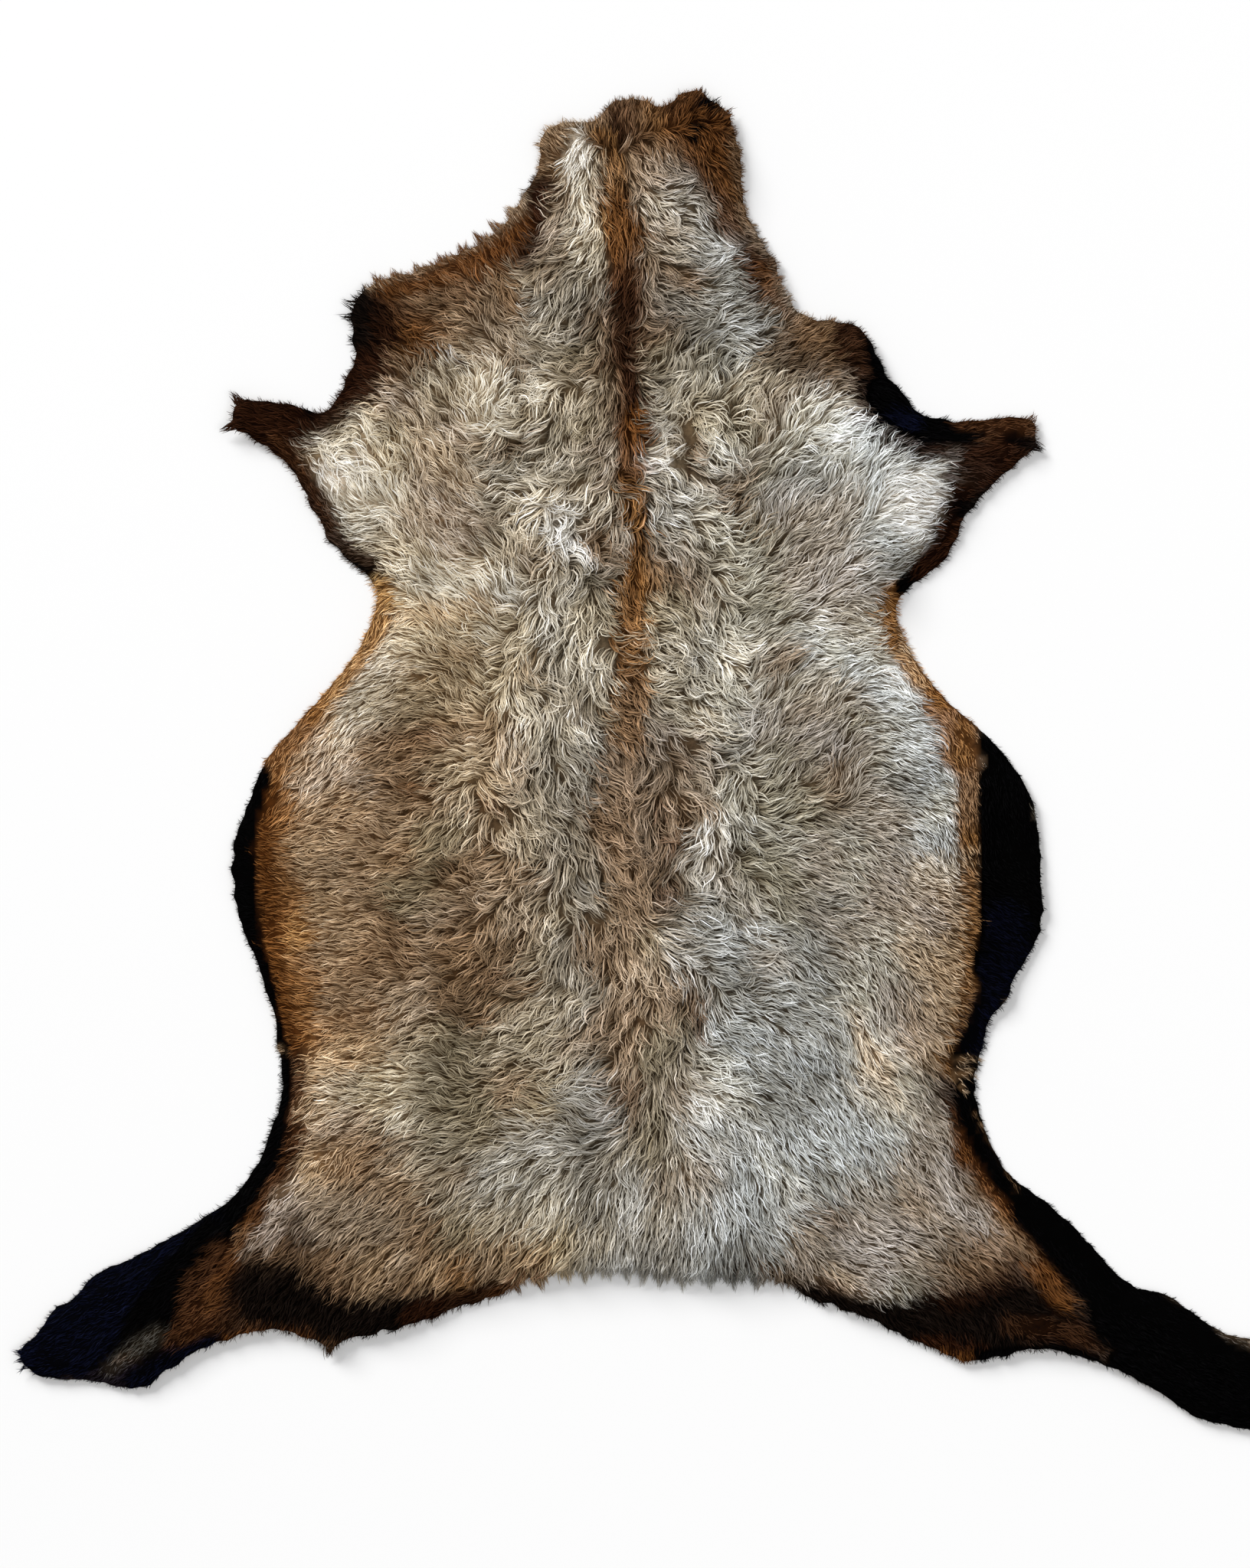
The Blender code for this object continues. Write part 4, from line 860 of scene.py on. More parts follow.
class Hide:
    """Fields over the hide, in millimetres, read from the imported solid."""

    def __init__(self, node):
        heights = read_heights(node)
        mask = heights > 0
        self.inside = distance_inside(mask)
        cover = blurred(mask.astype(float), HEIGHT_BLUR)
        level = blurred(heights, HEIGHT_BLUR) / np.maximum(cover, 0.02)
        self.top = np.where(self.inside > 0, level, level * np.exp(np.minimum(self.inside, 0) / TOP_FADE))
        opened = distance_inside(self.inside > OPENING) + OPENING
        self.body = blurred(distance_inside(opened > -CLOSING) - CLOSING, OUTLINE_BLUR)
        x, y = np.meshgrid(COLUMNS, ROWS)
        self.body -= RUMP_TRIM * at_rump(x, y, start=-390, half=130, fade=40, middle=10)
        self.outwards = np.gradient(-blurred(self.body, OUTWARD_BLUR), STEP)
        self.wobble = [mottle(reach) for reach in (7, 7, 16, 16)]
        self.patchy = mottle(9)
        self.wide = mottle(22)
        self.swirl = mottle(12)
        self.lift = np.zeros(mask.shape)
        for row in LIFTS:
            far = np.hypot(x - row.across, y - row.along)
            self.lift += row.height * np.exp(-((far / row.reach) ** 2) * 1.6)
        self.lift *= smooth(1 - self.inside / LIFT_FADE)
        flaps = [band for band in RIMS if band.tint == "black" and band.half >= FLAP_HALF]
        self.flap = np.max([band.half + 1 - from_line(band.line, x, y) for band in flaps], 0)

    def outward_angle(self, x, y):
        """The way to the nearest rim."""
        return np.arctan2(at(self.outwards[0], x, y), at(self.outwards[1], x, y))

    def tints(self, x, y):
        """The wool's colour at places, as light."""
        u = x + WOBBLE * (at(self.wobble[0], x, y) + at(self.wobble[2], x, y))
        v = y + WOBBLE * (at(self.wobble[1], x, y) + at(self.wobble[3], x, y))
        places = [place for tint in PLACES for place in PLACES[tint]]
        shown = np.array([LIGHT[tint] for tint in PLACES for _ in PLACES[tint]])
        result = np.empty((len(x), 3))
        for start in range(0, len(x), BATCH):
            part = slice(start, start + BATCH)
            result[part] = shares(places, u[part], v[part], PLACE_REACH) @ shown
            # The shades: the wool's own tones, with painted highlight and painted shade in places
            result[part] *= read_table(SHADES, SHADE_REACH, x[part], y[part], "share")[0][:, None]
        result *= 1 + np.outer(smooth((u - 20) / 60), COOL) + np.outer(smooth((-u - 20) / 60), WARM)
        result *= 1 - DARKER * smooth((-v - 120) / 150)[:, None]
        for mark in (*BANDS, *PATCHES):
            paint(result, mark, u, v)
        shade = 1 + 0.08 * at(self.patchy, x, y) + 0.03 * at(self.wide, x, y)
        result *= np.clip(shade, 0.6, 1.35)[:, None]
        for mark in RIMS:
            paint(result, mark, x + RIM_WOBBLE * (u - x), y + RIM_WOBBLE * (v - y))
        return result


def placed(name, data):
    """A new object in the scene."""
    made = bpy.data.objects.new(name, data)
    bpy.context.scene.collection.objects.link(made)
    return made


def new_mesh(name, corners, faces):
    """An object of triangles, from arrays in millimetres."""
    mesh = bpy.data.meshes.new(name)
    mesh.vertices.add(len(corners))
    mesh.vertices.foreach_set("co", (corners * MM).astype(np.float32).ravel())
    mesh.loops.add(faces.size)
    mesh.loops.foreach_set("vertex_index", faces.astype(np.int32).ravel())
    mesh.polygons.add(len(faces))
    mesh.polygons.foreach_set("loop_start", np.arange(0, faces.size, 3, dtype=np.int32))
    mesh.update(calc_edges=True)
    mesh.validate()
    mesh.shade_smooth()
    return placed(name, mesh)


def colour(piece, tints):
    """Keeps a colour for each corner of the piece."""
    layer = piece.data.color_attributes.new("tint", "FLOAT_COLOR", "POINT")
    values = np.ones((len(tints), 4), np.float32)
    values[:, :3] = tints
    layer.data.foreach_set("color", values.ravel())


def cut_grid(depth, step):
    """Triangles that cover the places where depth, a grid, is above 0, with a smooth rim."""
    xs = np.arange(COLUMNS[0], COLUMNS[-1], step)
    ys = np.arange(ROWS[0], ROWS[-1], step)
    x, y = np.meshgrid(xs, ys)
    value = at(depth, x.ravel(), y.ravel())
    places = np.stack((x.ravel(), y.ravel()), 1)
    width = len(xs)
    made = []
    known = {}

    def corner(key, place):
        """The number of the corner with this key, which is made where it is new."""
        if key not in known:
            known[key] = len(made)
            made.append(place)
        return known[key]

    def crossing(a, b):
        """The corner where the rim crosses an edge of the grid."""
        low, high = min(a, b), max(a, b)
        share = value[low] / (value[low] - value[high])
        share = min(max(share, 0.04), 0.96)
        return corner((low, high), places[low] + share * (places[high] - places[low]))

    faces = []
    for row in range(len(ys) - 1):
        for column in range(width - 1):
            a = row * width + column
            b, c, d = a + 1, a + width + 1, a + width
            if max(value[a], value[b], value[c], value[d]) <= 0:
                continue
            split = ((a, b, c), (a, c, d)) if (row + column) % 2 else ((a, b, d), (b, c, d))
            for triangle in split:
                outline = []
                for p, q in zip(triangle, triangle[1:] + triangle[:1]):
                    if value[p] > 0:
                        outline.append(corner(p, places[p]))
                    if (value[p] > 0) != (value[q] > 0):
                        outline.append(crossing(p, q))
                for k in range(1, len(outline) - 1):
                    faces.append((outline[0], outline[k], outline[k + 1]))
    return np.array(made), np.array(faces)


def rim_edges(faces):
    """The edges that only one triangle has, each running as that triangle does."""
    edges = np.concatenate((faces[:, [0, 1]], faces[:, [1, 2]], faces[:, [2, 0]])).tolist()
    known = {(a, b) for a, b in edges}
    return np.array([(a, b) for a, b in edges if (b, a) not in known])


def closed(plan, faces, tops, bottoms):
    """Corners and triangles of a slab with this plan between the two heights."""
    count = len(plan)
    a, b = rim_edges(faces).T
    corners = np.concatenate((np.column_stack((plan, tops)), np.column_stack((plan, bottoms))))
    sides = np.concatenate((np.column_stack((b, a, a + count)), np.column_stack((b, a + count, b + count))))
    return corners, np.concatenate((faces, faces[:, ::-1] + count, sides))


def unit(vectors):
    """The vectors, each one long."""
    return vectors / (np.linalg.norm(vectors, axis=2, keepdims=True) + 1e-9)


def ribbons(points, width, t):
    """Corners, triangles and flat places of ribbons that taper along lines of points to their tips."""
    count, rings = points.shape[:2]
    along = np.empty_like(points)
    along[:, 1:-1] = points[:, 2:] - points[:, :-2]
    along[:, 0] = points[:, 1] - points[:, 0]
    along[:, -1] = points[:, -1] - points[:, -2]
    along = unit(along)
    side = unit(np.cross(along, (0.0, 0.0, 1.0)))
    roll = random.normal(0, 0.5, count).clip(-1.1, 1.1)[:, None, None]
    side = side * np.cos(roll) + np.cross(side, along) * np.sin(roll)
    taper = np.minimum(1, 1.9 * (1 - t) ** 0.8) * (0.7 + 0.3 * t)
    half = (width[:, None] * taper * 0.5)[:, :, None]
    corners = np.empty((count, 2 * rings - 1, 3))
    corners[:, 0:-1:2] = (points - side * half)[:, :-1]
    corners[:, 1:-1:2] = (points + side * half)[:, :-1]
    corners[:, -1] = points[:, -1]
    corners[:, :, 2] = np.maximum(corners[:, :, 2], RIBBON_LOWEST)
    pattern = []
    for a in range(0, 2 * (rings - 2), 2):
        pattern += [(a, a + 1, a + 3), (a, a + 3, a + 2)]
    last = 2 * (rings - 2)
    pattern.append((last, last + 1, last + 2))
    faces = (np.arange(count)[:, None, None] * (2 * rings - 1) + np.array(pattern)).reshape(-1, 3)
    # In the flat layout each ribbon stands upright in a cell, inside its margins
    where = np.append(np.repeat(t[:-1], 2), 1.0)
    flat = np.empty((count, 2 * rings - 1, 2))
    flat[:, :, 0] = np.append(np.tile((0.12, 0.88), rings - 1), 0.5)
    flat[:, :, 1] = 0.08 + 0.84 * where
    return corners.reshape(-1, 3), faces, flat, where


def sown(step, row_step, shift, jitter):
    """Places over the grid in rows, every second row shifted, and each place moved a little."""
    x, y = np.meshgrid(np.arange(COLUMNS[0], COLUMNS[-1], step), np.arange(ROWS[0], ROWS[-1], row_step))
    x = x + (np.arange(len(x)) % 2)[:, None] * shift
    x = x.ravel() + random.uniform(-jitter, jitter, x.size) * step
    y = y.ravel() + random.uniform(-jitter, jitter, y.size) * step
    return x, y


def scatter(spread, curl):
    """A random value about 0 for each curl, wider where the wool is curly."""
    return random.normal(0, 1, len(curl)) * with_curl(spread, curl)


def cut_short(length, room, reach, past):
    """The lengths, cut to the share that there is room for where they go past an edge."""
    return np.where(past, length * np.clip(room / np.maximum(reach, 0.1), 0.2, 1.0), length)


class Strands:
    """The wool: for each strand a line of points from root to tip, and its width and colours."""

    def __init__(self, hide):
        self.hide = hide
        self.sow_locks()
        self.sow_strands()

    def sow_locks(self):
        """Places the locks, fewer and larger where the wool is curly, and gives each its way of lying."""
        hide = self.hide
        x, y = sown(LOCK_STEP, LOCK_STEP * LOCK_ROWS, LOCK_STEP / 2, LOCK_JITTER)
        kept = at(hide.body, x, y) > -LOCK_MARGIN
        x, y = x[kept], y[kept]
        length, curl = read_table(ZONES, ZONE_REACH, x, y, "length", "curl")
        kept = random.uniform(0, 1, len(x)) < 1 / (1 + 0.6 * curl) ** 2
        x, y, length, curl = x[kept], y[kept], length[kept], curl[kept]
        count = len(x)
        running, rising = flow(x, y)
        turn = np.radians(read_table(TURNS, ZONE_REACH, x, y, "angle")[0]) * with_curl(TURN_SHARE, curl)
        self.turn = turn + scatter(TURN_SPREAD, curl) + 0.7 * curl * at(hide.patchy, x, y)
        angle = np.arctan2(rising, running) + scatter(ANGLE_SPREAD, curl)
        self.angle = angle + 0.5 * curl * at(hide.swirl, x, y) - self.turn * 0.35
        self.hook = scatter(HOOK_SPREAD, curl)
        self.x, self.y, self.curl = x, y, curl
        self.rim = at(hide.body, x, y)
        shaggy = at_rump(x, y, start=-385, half=120, fade=20)
        length *= with_curl(LENGTH_SHARE, curl)
        short = 6 + 0.62 * np.maximum(self.rim, 0)
        self.length = np.where(length > short, length + (1 - shaggy) * (short - length), length)
        self.wave = with_curl(WAVE, curl) * random.uniform(0.4, 1.4, count)
        self.wave_length = random.uniform(11, 18, count) * (1 + 0.6 * curl)
        self.phase = random.uniform(0, 2 * math.pi, count)
        self.stretch = random.uniform(0.78, 1.18, count)
        self.shade = scatter(SHADE_SPREAD, curl)
        self.above = random.normal(0, 1, count)
        self.clump = (random.uniform(0.05, 0.20, count) + 0.36 * curl) * smooth((self.rim + 4) / 16)

    def sow_strands(self):
        """Roots the strands, fewer where they are long, and finds the lock that each belongs to."""
        x, y = sown(STRAND_STEP, STRAND_STEP, 0, 0.5)
        rooted = at(self.hide.body, x, y) > ROOT_INSIDE
        x, y = x[rooted], y[rooted]
        tree = KDTree(len(self.x))
        for number, place in enumerate(zip(self.x, self.y)):
            tree.insert((*place, 0), number)
        tree.balance()
        found = [tree.find((*place, 0)) for place in zip(x, y)]
        lock = np.array([row[1] for row in found])
        aside = np.array([row[2] for row in found])
        wanted = np.clip(1.20 - 0.022 * self.length[lock], 0.55, 0.90)
        kept = random.uniform(0, 1, len(x)) < wanted
        self.root_x, self.root_y, self.lock, self.aside = x[kept], y[kept], lock[kept], aside[kept]
        self.order = random.permutation(len(self.lock))

    def paths(self, chosen, rings):
        """The points of the chosen strands, and their widths and tones."""
        hide = self.hide
        lock = self.lock[chosen]
        curl = self.curl[lock]
        count = len(chosen)
        t = np.linspace(0, 1, rings)
        middle = (t[1:] + t[:-1]) / 2
        length = self.length[lock] * self.stretch[lock] * random.uniform(0.78, 1.16, count)
        own = scatter(STRAND_SPREAD, curl)
        tone = random.normal(0, 1, count).clip(-2.2, 2.2)
        own_phase = self.phase[lock] + random.normal(0, 0.35, count)
        hook = self.hook[lock] + random.normal(0, 0.15, count)

        def walk(x, y, angle, phase):
            """A line of points from each root, which turns, hooks and waves as the wool does."""
            turn = 2 * math.pi * (length[:, None] * middle) / self.wave_length[lock][:, None]
            way = angle[:, None] + self.turn[lock][:, None] * middle + hook[:, None] * middle ** 3
            way = way + self.wave[lock][:, None] * np.sin(turn + phase[:, None])
            step = (length / (rings - 1))[:, None]
            px = x[:, None] + np.pad(np.cumsum(np.cos(way) * step, 1), ((0, 0), (1, 0)))
            py = y[:, None] + np.pad(np.cumsum(np.sin(way) * step, 1), ((0, 0), (1, 0)))
            return px, py

        root_x, root_y = self.root_x[chosen], self.root_y[chosen]
        back_x = ROOT_BACK * length * np.cos(self.angle[lock])
        back_y = ROOT_BACK * length * np.sin(self.angle[lock])
        stays = (at(hide.flap, root_x - back_x, root_y - back_y) > 0) == (at(hide.flap, root_x, root_y) > 0)
        stays &= at(hide.body, root_x - back_x, root_y - back_y) > 1
        root_x, lock_x = root_x - back_x * stays, self.x[lock] - back_x * stays
        root_y, lock_y = root_y - back_y * stays, self.y[lock] - back_y * stays
        spare = np.maximum(self.length[lock] - 8, 2)
        beyond = -PAST_RIM - random.uniform(0, 1, count) ** 2.2 * 0.28 * spare
        over = random.uniform(0, 3, count)
        for _ in range(3):
            x, y = walk(root_x, root_y, self.angle[lock] + own, own_phase)
            lock_px, lock_py = walk(lock_x, lock_y, self.angle[lock], self.phase[lock])
            pull = self.clump[lock][:, None] * t ** 1.3
            x = x + pull * (lock_px - x)
            y = y + pull * (lock_py - y)
            rooted, ended = at(hide.body, root_x, root_y), at(hide.body, x[:, -1], y[:, -1])
            length = cut_short(length, rooted - beyond, rooted - ended, ended < beyond)
            rooted, ended = at(hide.flap, root_x, root_y), at(hide.flap, x[:, -1], y[:, -1])
            length = cut_short(length, over - rooted, ended - rooted, (rooted < 0) & (ended > over))
        top = at(hide.top, x, y)
        base = ROOT_HEIGHT * top[:, :1]
        edge = (self.aside[chosen] / LOCK_STEP).clip(0, 1.2) - 0.5
        lay = 0.4 * self.above[lock] + with_curl(LAY_SPREAD, curl) * tone - with_curl(LAY_FALL, curl) * edge
        lay = (lay + random.normal(0, 0.25, count)) * np.clip(top[:, 0] / 14, 0.25, 1)
        z = base + (top + lay[:, None] - base) * (1 - (1 - t) ** 2.2)
        z = np.maximum(z, LOWEST + random.uniform(0, 0.8, count)[:, None]) + at(hide.lift, x, y)
        width = STRAND_WIDTH * random.uniform(0.7, 1.2, count)
        width = width * (0.45 + 0.55 * length / FULL_LENGTH).clip(0.5, 1.15)
        # Strands at a lock's edge are painted darker, as shade between the locks; the rest of the tone is
        # the strand's and the lock's own, and the lighter strands were laid higher
        tone = tone * with_curl(TONE_SPREAD, curl) - with_curl(EDGE_SHADE, curl) * edge + self.shade[lock]
        tone += 0.30 * (random.uniform(0, 1, count) > 0.84)
        return np.stack((x, y, z), 2), width, tone, t

    def dress(self, chosen, rings):
        """Corners, triangles, colours and flat places of the chosen strands."""
        points, width, tone, t = self.paths(chosen, rings)
        corners, faces, flat, where = ribbons(points, width, t)
        curl = self.curl[self.lock[chosen]][:, None]
        seen = np.round(random.uniform(0.15, 1.0, len(points)) * (rings - 1)).astype(int)
        row = np.arange(len(points))
        tint = self.hide.tints(points[row, seen, 0], points[row, seen, 1])
        # Strands darken towards their roots, partly in their own colour and partly as painted shade under
        # the strands above, less on light wool; the roots are also warmer
        even = 0.4 * lightness(tint)
        root_tone_and_shade = 0.56 - 0.14 * curl + 0.4 * even[:, None]
        shade = root_tone_and_shade + (1.18 - root_tone_and_shade) * smooth(where / 0.8)
        warm = 1 - np.outer(1 - smooth(where / 0.75), (0.0, 0.12, 0.28))
        tint = GAIN * tint * np.exp(np.outer(tone * (1 - even), (1.0, 1.06, 1.2)))
        colours = tint[:, None, :] * shade[:, :, None] * warm
        colours = colours / (1 + 0.15 * colours ** 2)
        return corners, faces, colours.reshape(-1, 3), flat


def hairs(points, width, t, tint, tone, light):
    """Corners, triangles, colours and flat places of hairs, which are lighter at their tips and darker at
    their roots, partly in their own colour, partly as painted shade.
    """
    corners, faces, flat, where = ribbons(points, width, t)
    tint = GAIN * tint * np.exp(random.normal(*tone, len(points)))[:, None]
    colours = tint[:, None, :] * (light[0] + light[1] * where)[:, None]
    return corners, faces, colours.reshape(-1, 3), flat


def rim_tufts(hide):
    """Pointed locks at the rim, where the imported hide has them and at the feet's corners."""
    x, y = np.meshgrid(COLUMNS, ROWS)
    out = (hide.inside > 0) & (hide.body < -0.4)
    chosen = []
    for tip in np.stack((x[out], y[out]), 1)[np.argsort(hide.body[out])]:
        shaggy = tip[1] > 375 or (tip[1] < -400 and abs(tip[0]) < 110)
        if shaggy and all(math.dist(tip, other) > TUFT_GAP for other in chosen):
            chosen.append(tip)
    tips = np.repeat(np.concatenate((np.array(chosen), TIPS)), TUFT_HAIRS, 0)
    x, y = tips[:, 0], tips[:, 1]
    count = len(tips)
    angle = hide.outward_angle(x, y)
    cos, sin = np.cos(angle), np.sin(angle)
    back = random.uniform(4, 12, count) + np.maximum(-at(hide.body, x, y) - 2, 0)
    aside = random.uniform(-TUFT_HALF, TUFT_HALF, count)
    x0 = x - cos * back - sin * aside
    y0 = y - sin * back + cos * aside
    reach = random.uniform(-4.0, 2.5, count)
    x1 = x + cos * reach + random.normal(0, 1.2, count)
    y1 = y + sin * reach + random.normal(0, 1.2, count)
    t = np.linspace(0, 1, 4)
    bend = np.outer(aside * random.uniform(0.1, 0.5, count), t * (1 - t) * 2)
    px = x0[:, None] + (x1 - x0)[:, None] * t - sin[:, None] * bend
    py = y0[:, None] + (y1 - y0)[:, None] * t + cos[:, None] * bend
    high = np.maximum(at(hide.top, x0, y0) * random.uniform(0.3, 0.9, count), 1.5)
    pz = LOWEST + (high - LOWEST)[:, None] * (1 - t ** 1.5) + at(hide.lift, px, py)
    width = random.uniform(0.6, 1.1, count)
    tint = hide.tints(x0, y0)
    return hairs(np.stack((px, py, pz), 2), width, t, tint, tone=(-0.05, 0.22), light=(0.6, 0.5))


def rim_hair(hide, count):
    """Fine short hairs that stand out all round the hide's rim."""
    x = random.uniform(COLUMNS[0], COLUMNS[-1], count * RIM_TRIES)
    y = random.uniform(ROWS[0], ROWS[-1], count * RIM_TRIES)
    depth = at(hide.body, x, y)
    kept = np.flatnonzero((depth > 0) & (depth < RIM_DEPTH))[:count]
    x, y = x[kept], y[kept]
    count = len(kept)
    out = hide.outward_angle(x, y)
    running, rising = flow(x, y)
    angle = np.arctan2(rising + 0.5 * np.sin(out), running + 0.5 * np.cos(out))
    angle = angle + random.normal(0, 0.25, count)
    length = read_table(ZONES, ZONE_REACH, x, y, "length")[0] * random.uniform(0.15, 0.36, count)
    t = np.linspace(0, 1, 3)
    way = angle[:, None] + np.outer(random.normal(0, 0.3, count), t)
    px = x[:, None] + np.cos(way) * length[:, None] * t
    py = y[:, None] + np.sin(way) * length[:, None] * t
    high = at(hide.top, x, y)[:, None] * random.uniform(0.15, 0.6, count)[:, None]
    pz = np.maximum(high * (1 - 0.75 * t), 0.7) + at(hide.lift, px, py)
    width = random.uniform(0.4, 0.75, count)
    tint = hide.tints(x - RIM_SEEN * np.cos(out), y - RIM_SEEN * np.sin(out))
    return hairs(np.stack((px, py, pz), 2), width, t, tint, tone=(0.0, 0.25), light=(0.7, 0.45))


def make_material(name):
    """A material, its tree of nodes and its shader."""
    material = bpy.data.materials.new(name)
    material.use_nodes = True
    tree = material.node_tree
    return material, tree, tree.nodes["Principled BSDF"]


def set_inputs(made, values):
    """Sets some of a node's inputs."""
    for name, value in values.items():
        made.inputs[name].default_value = value


def node(tree, kind, inputs=None, **settings):
    """A new node with some of its inputs and settings."""
    made = tree.nodes.new(kind)
    for name, value in settings.items():
        setattr(made, name, value)
    set_inputs(made, inputs or {})
    return made


def add_noise(tree, scale, detail, rough=0.5):
    """Noise over the object, which the node gives as a value."""
    where = node(tree, "ShaderNodeTexCoord")
    made = node(tree, "ShaderNodeTexNoise", {"Scale": scale, "Detail": detail, "Roughness": rough})
    tree.links.new(where.outputs["Object"], made.inputs["Vector"])
    return made.outputs["Fac"]


def add_range(tree, value, low, high):
    """The middle of a noise's values, stretched from low to high."""
    limits = {"From Min": 0.3, "From Max": 0.7, "To Min": low, "To Max": high}
    made = node(tree, "ShaderNodeMapRange", limits)
    tree.links.new(value, made.inputs["Value"])
    return made.outputs["Result"]


def add_bump(tree, shader, value, distance, strength):
    """Lets a value roughen the surface."""
    made = node(tree, "ShaderNodeBump", {"Distance": distance, "Strength": strength})
    tree.links.new(value, made.inputs["Height"])
    tree.links.new(made.outputs["Normal"], shader.inputs["Normal"])


def wool_material(name, scale, low, high, rough):
    """Wool whose colour is kept in the mesh, broken up by fine noise."""
    material, tree, shader = make_material(name)
    tint = node(tree, "ShaderNodeAttribute", attribute_name="tint")
    grain = add_range(tree, add_noise(tree, scale, 3.0, 0.6), low, high)
    mix = node(tree, "ShaderNodeVectorMath", operation="SCALE")
    tree.links.new(tint.outputs["Color"], mix.inputs[0])
    tree.links.new(grain, mix.inputs["Scale"])
    tree.links.new(mix.outputs["Vector"], shader.inputs["Base Color"])
    roughness = add_range(tree, add_noise(tree, scale * 0.5, 2.0), rough - 0.08, rough + 0.1)
    tree.links.new(roughness, shader.inputs["Roughness"])
    set_inputs(shader, {"Specular IOR Level": 0.02})
    add_bump(tree, shader, add_noise(tree, scale * 4, 2.0), 0.0004, 0.5)
    return material


def leather_material():
    """Pale suede, darker in veins and clouds, with a fine nap."""
    material, tree, shader = make_material("suede")
    ramp = node(tree, "ShaderNodeValToRGB")
    for stop, position, tint in zip(ramp.color_ramp.elements, SUEDE_RANGE, SUEDE_TINTS):
        stop.position = position
        stop.color = (*linear(tint), 1)
    tree.links.new(add_noise(tree, 14, 6.0, 0.62), ramp.inputs["Fac"])
    tree.links.new(ramp.outputs["Color"], shader.inputs["Base Color"])
    tree.links.new(add_range(tree, add_noise(tree, 60, 3.0), 0.78, 0.95), shader.inputs["Roughness"])
    set_inputs(shader, {"Specular IOR Level": 0.2, "Sheen Weight": 0.25, "Sheen Roughness": 0.5})
    add_bump(tree, shader, add_noise(tree, 420, 4.0, 0.6), 0.0008, 0.6)
    return material


def dress(piece, material):
    """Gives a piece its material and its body."""
    piece.data.materials.append(material)
    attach(piece, "root")
    return piece


def make_skin(hide):
    """The suede skin that the wool grows on."""
    plan, faces = cut_grid(hide.body - SKIN_INSET, SKIN_STEP)
    x, y = plan[:, 0], plan[:, 1]
    low = at(hide.lift, x, y) + SKIN_WAVE * (1 + at(hide.wide, x, y).clip(-1, 1))
    corners, faces = closed(plan, faces, low + SKIN_THICK, low)
    piece = dress(new_mesh("skin", corners, faces), leather_material())
    a, b, c = (corners[faces[:, k]] for k in range(3))
    area = np.linalg.norm(np.cross(b - a, c - a), axis=1).sum() / 4 * MM * MM
    size = (plan.max(0) - plan.min(0)) * MM
    return piece, size, area


def make_undercoat(hide):
    """The dense wool below the strands, which shows dark between them: darker partly in its roots' own
    colour, partly as painted shade.
    """
    plan, faces = cut_grid(hide.body, UNDERCOAT_STEP)
    x, y = plan[:, 0], plan[:, 1]
    height = at(hide.top, x, y) * UNDERCOAT_SHARE * smooth(at(hide.body, x, y) / UNDERCOAT_RISE)
    bumps = UNDERCOAT_BUMPS * at(hide.patchy, x, y) * np.clip(height / 8, 0, 1)
    low = at(hide.lift, x, y) + SKIN_THICK
    tops = np.column_stack((plan, low + UNDERCOAT_RIM + np.maximum(height + bumps, 0)))
    rim = rim_edges(faces)
    ring = np.unique(rim)
    place = {corner: number for number, corner in enumerate(ring)}
    edges = [(place[a], place[b]) for a, b in rim.tolist()]
    below = delaunay_2d_cdt([Vector(plan[corner]) for corner in ring], edges, [], 1, 1e-6)
    count = len(plan)
    under = np.array([(corner.x, corner.y) for corner in below[0]])
    low = at(hide.lift, under[:, 0], under[:, 1]) + SKIN_THICK
    corners = np.concatenate((tops, np.column_stack((under, low - UNDERCOAT_RIM))))
    match = {ring[ids[0]]: count + number for number, ids in enumerate(below[3])}
    sides = []
    for a, b in rim.tolist():
        sides += [(b, a, match[a]), (b, match[a], match[b])]
    under_faces = np.array([face[::-1] for face in below[2]]) + count
    piece = new_mesh("undercoat", corners, np.concatenate((faces, under_faces, np.array(sides))))
    tint = hide.tints(corners[:, 0], corners[:, 1])
    # The wool's colour, darkened partly as the roots' own colour and partly as painted shade between the
    # strands, less on light wool
    colour(piece, tint * (ROOT_AND_SHADE_TINT + 0.3 * lightness(tint)[:, None]))
    dress(piece, wool_material("wool_roots", 160, 0.55, 1.5, 0.85))
    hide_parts("sheepskin")
    return piece


def make_fleece(hide):
    """The strands of wool, in a few pieces that each spread over the whole hide."""
    strands = Strands(hide)
    material = wool_material("wool_strands", 220, 0.86, 1.14, 0.62)
    curl = strands.curl[strands.lock]
    length = strands.length[strands.lock]
    # Short wool needs fewer points along each strand, and curly wool needs more
    kinds = np.select([length < 13, curl > 0.5, length < 20], [4, 7, 5], 6)
    pieces = []
    for number in range(PIECES):
        share = strands.order[number::PIECES]
        parts = [strands.dress(share[kinds[share] == rings], rings) for rings in (4, 5, 6, 7)]
        parts.append(rim_hair(hide, RIM_HAIRS // PIECES))
        if number == 0:
            parts.append(rim_tufts(hide))
        corners, faces, colours, flats = zip(*parts)
        starts = np.cumsum([0] + [len(part) for part in corners[:-1]])
        faces = [part + start for part, start in zip(faces, starts)]
        piece = new_mesh(f"fleece_{number + 1}", np.concatenate(corners), np.concatenate(faces))
        colour(piece, np.concatenate(colours))
        lay_flat(piece, flats)
        pieces.append(dress(piece, material))
    return pieces


def lay_flat(piece, flats):
    """Gives each strand a cell of its own in a flat layout."""
    cells = math.ceil(math.sqrt(sum(len(flat) for flat in flats)))
    places = []
    start = 0
    for flat in flats:
        number = np.arange(start, start + len(flat))
        corner = np.stack((number % cells, number // cells), 1)
        places.append(((flat + corner[:, None, :]) / cells).reshape(-1, 2))
        start += len(flat)
    places = np.concatenate(places)
    mesh = piece.data
    corners = np.empty(len(mesh.loops), np.int32)
    mesh.loops.foreach_get("vertex_index", corners)
    layer = mesh.uv_layers.new(name="OFBake")
    layer.data.foreach_set("uv", places[corners].astype(np.float32).ravel())


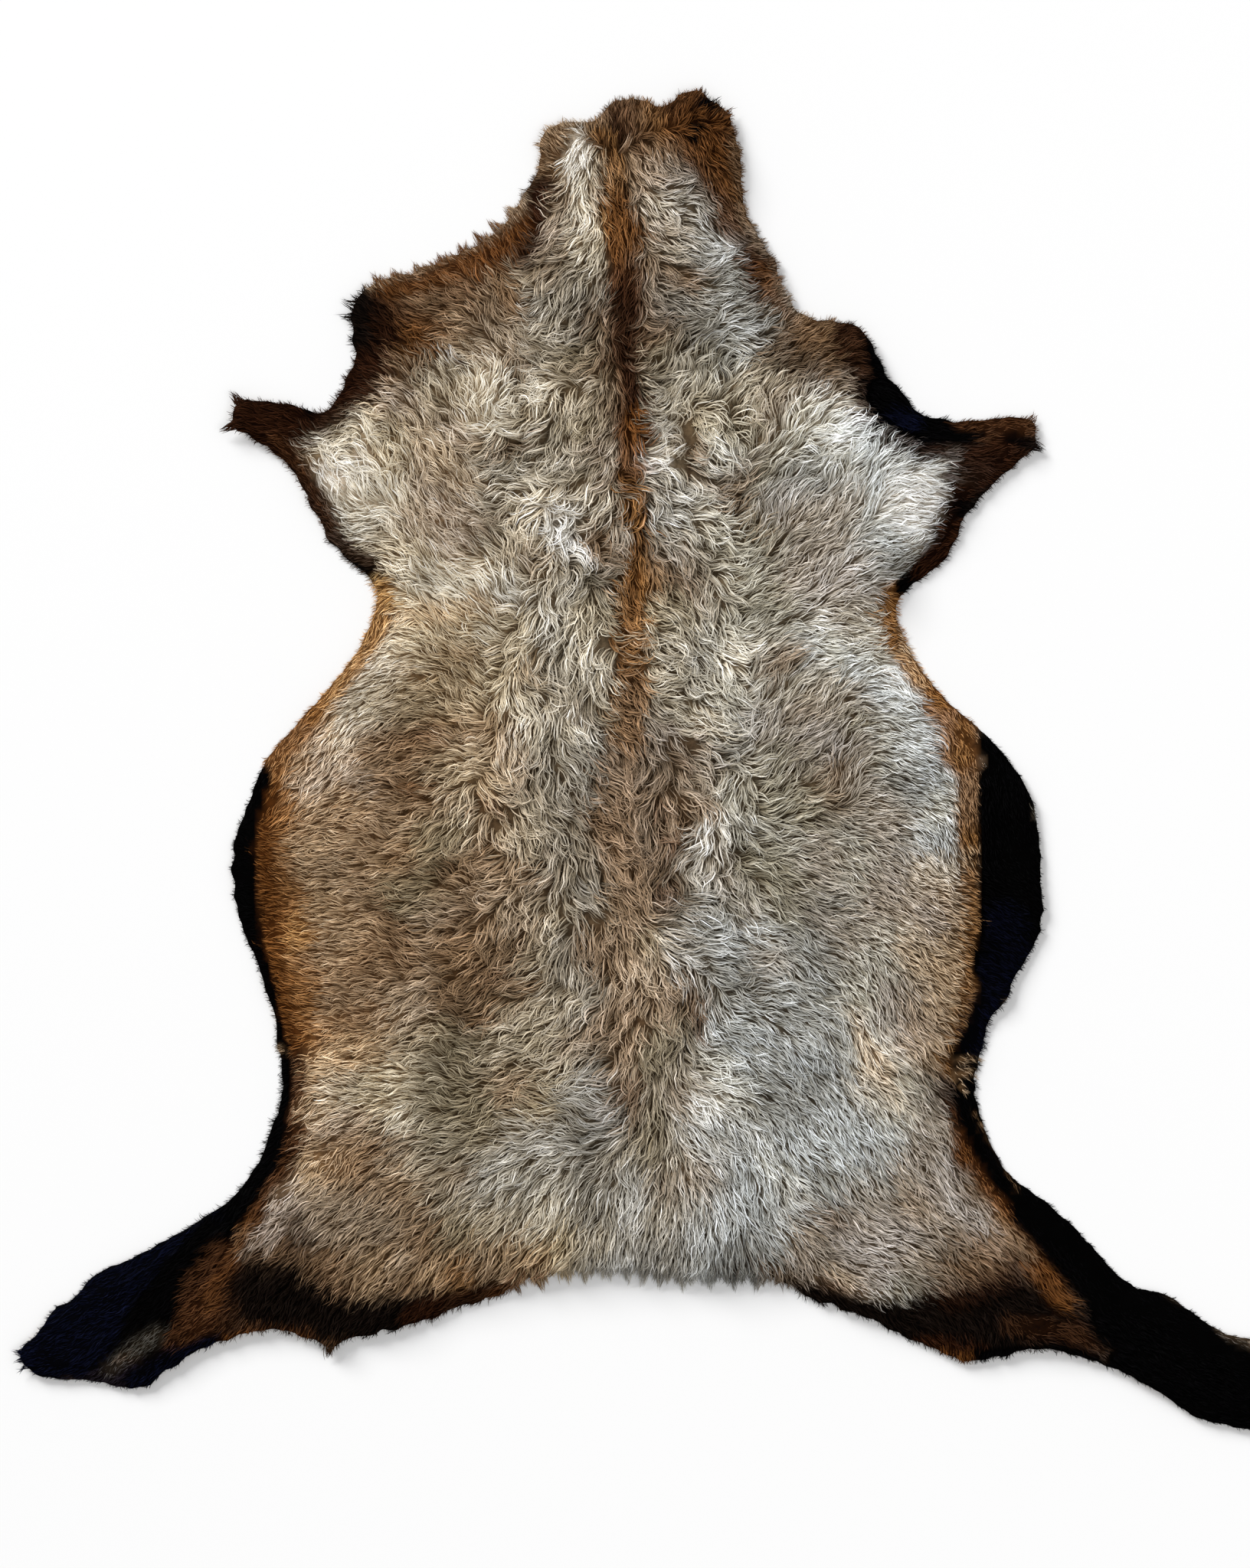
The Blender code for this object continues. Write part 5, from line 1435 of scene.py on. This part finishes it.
def make_floor():
    """The pale floor of the studio, a hair below the hide."""
    mesh = bpy.data.meshes.new("floor")
    turns = ((-1, -1), (1, -1), (1, 1), (-1, 1))
    corners = [(x * FLOOR_HALF, y * FLOOR_HALF, -FLOOR_DROP) for x, y in turns]
    mesh.from_pydata(corners, [], [(0, 1, 2, 3)])
    floor = placed("floor", mesh)
    material, _, shader = make_material("pale_floor")
    set_inputs(shader, {"Base Color": (0.95, 0.95, 0.95, 1), "Roughness": 0.9, "Specular IOR Level": 0.1})
    mesh.materials.append(material)


def add_light(name, place, size, power):
    """A square light that shines on the middle of the floor."""
    lamp = bpy.data.lights.new(name, "AREA")
    lamp.shape = "SQUARE"
    lamp.size = size
    lamp.energy = power
    light = placed(name, lamp)
    light.location = place
    light.rotation_euler = (-Vector(place)).to_track_quat("-Z", "Y").to_euler()


def light_and_shoot():
    """The studio's lights, and the camera, which sees FIELD across at the wool's height."""
    scene = bpy.context.scene
    scene.view_settings.view_transform = "Standard"
    world = bpy.data.worlds.new("studio")
    world.use_nodes = True
    set_inputs(world.node_tree.nodes["Background"], {"Color": (1, 1, 1, 1), "Strength": WORLD_LIGHT})
    scene.world = world
    add_light("key", (-17.0, 20.0, 12.4), size=11.0, power=9600)
    add_light("fill", (2.5, -1.5, 6.0), size=4.0, power=95)
    lens = bpy.data.cameras.new("camera")
    lens.type = "PERSP"
    lens.sensor_width = SENSOR
    lens.lens = SENSOR * CAMERA_HEIGHT / FIELD
    lens.clip_start = 0.1
    lens.clip_end = 50
    camera = placed("camera", lens)
    camera.location = (*CAMERA_PLACE, CAMERA_HEIGHT + WOOL_HEIGHT)
    scene.camera = camera


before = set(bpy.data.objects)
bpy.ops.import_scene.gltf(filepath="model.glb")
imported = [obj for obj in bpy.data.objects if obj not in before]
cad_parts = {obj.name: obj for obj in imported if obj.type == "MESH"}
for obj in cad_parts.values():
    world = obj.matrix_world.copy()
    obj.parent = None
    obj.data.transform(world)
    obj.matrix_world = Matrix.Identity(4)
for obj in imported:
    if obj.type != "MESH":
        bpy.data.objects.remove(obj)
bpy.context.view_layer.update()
hide = Hide(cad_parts["sheepskin"])
skin, skin_size, skin_area = make_skin(hide)
undercoat = make_undercoat(hide)
fleece = make_fleece(hide)
make_floor()
light_and_shoot()
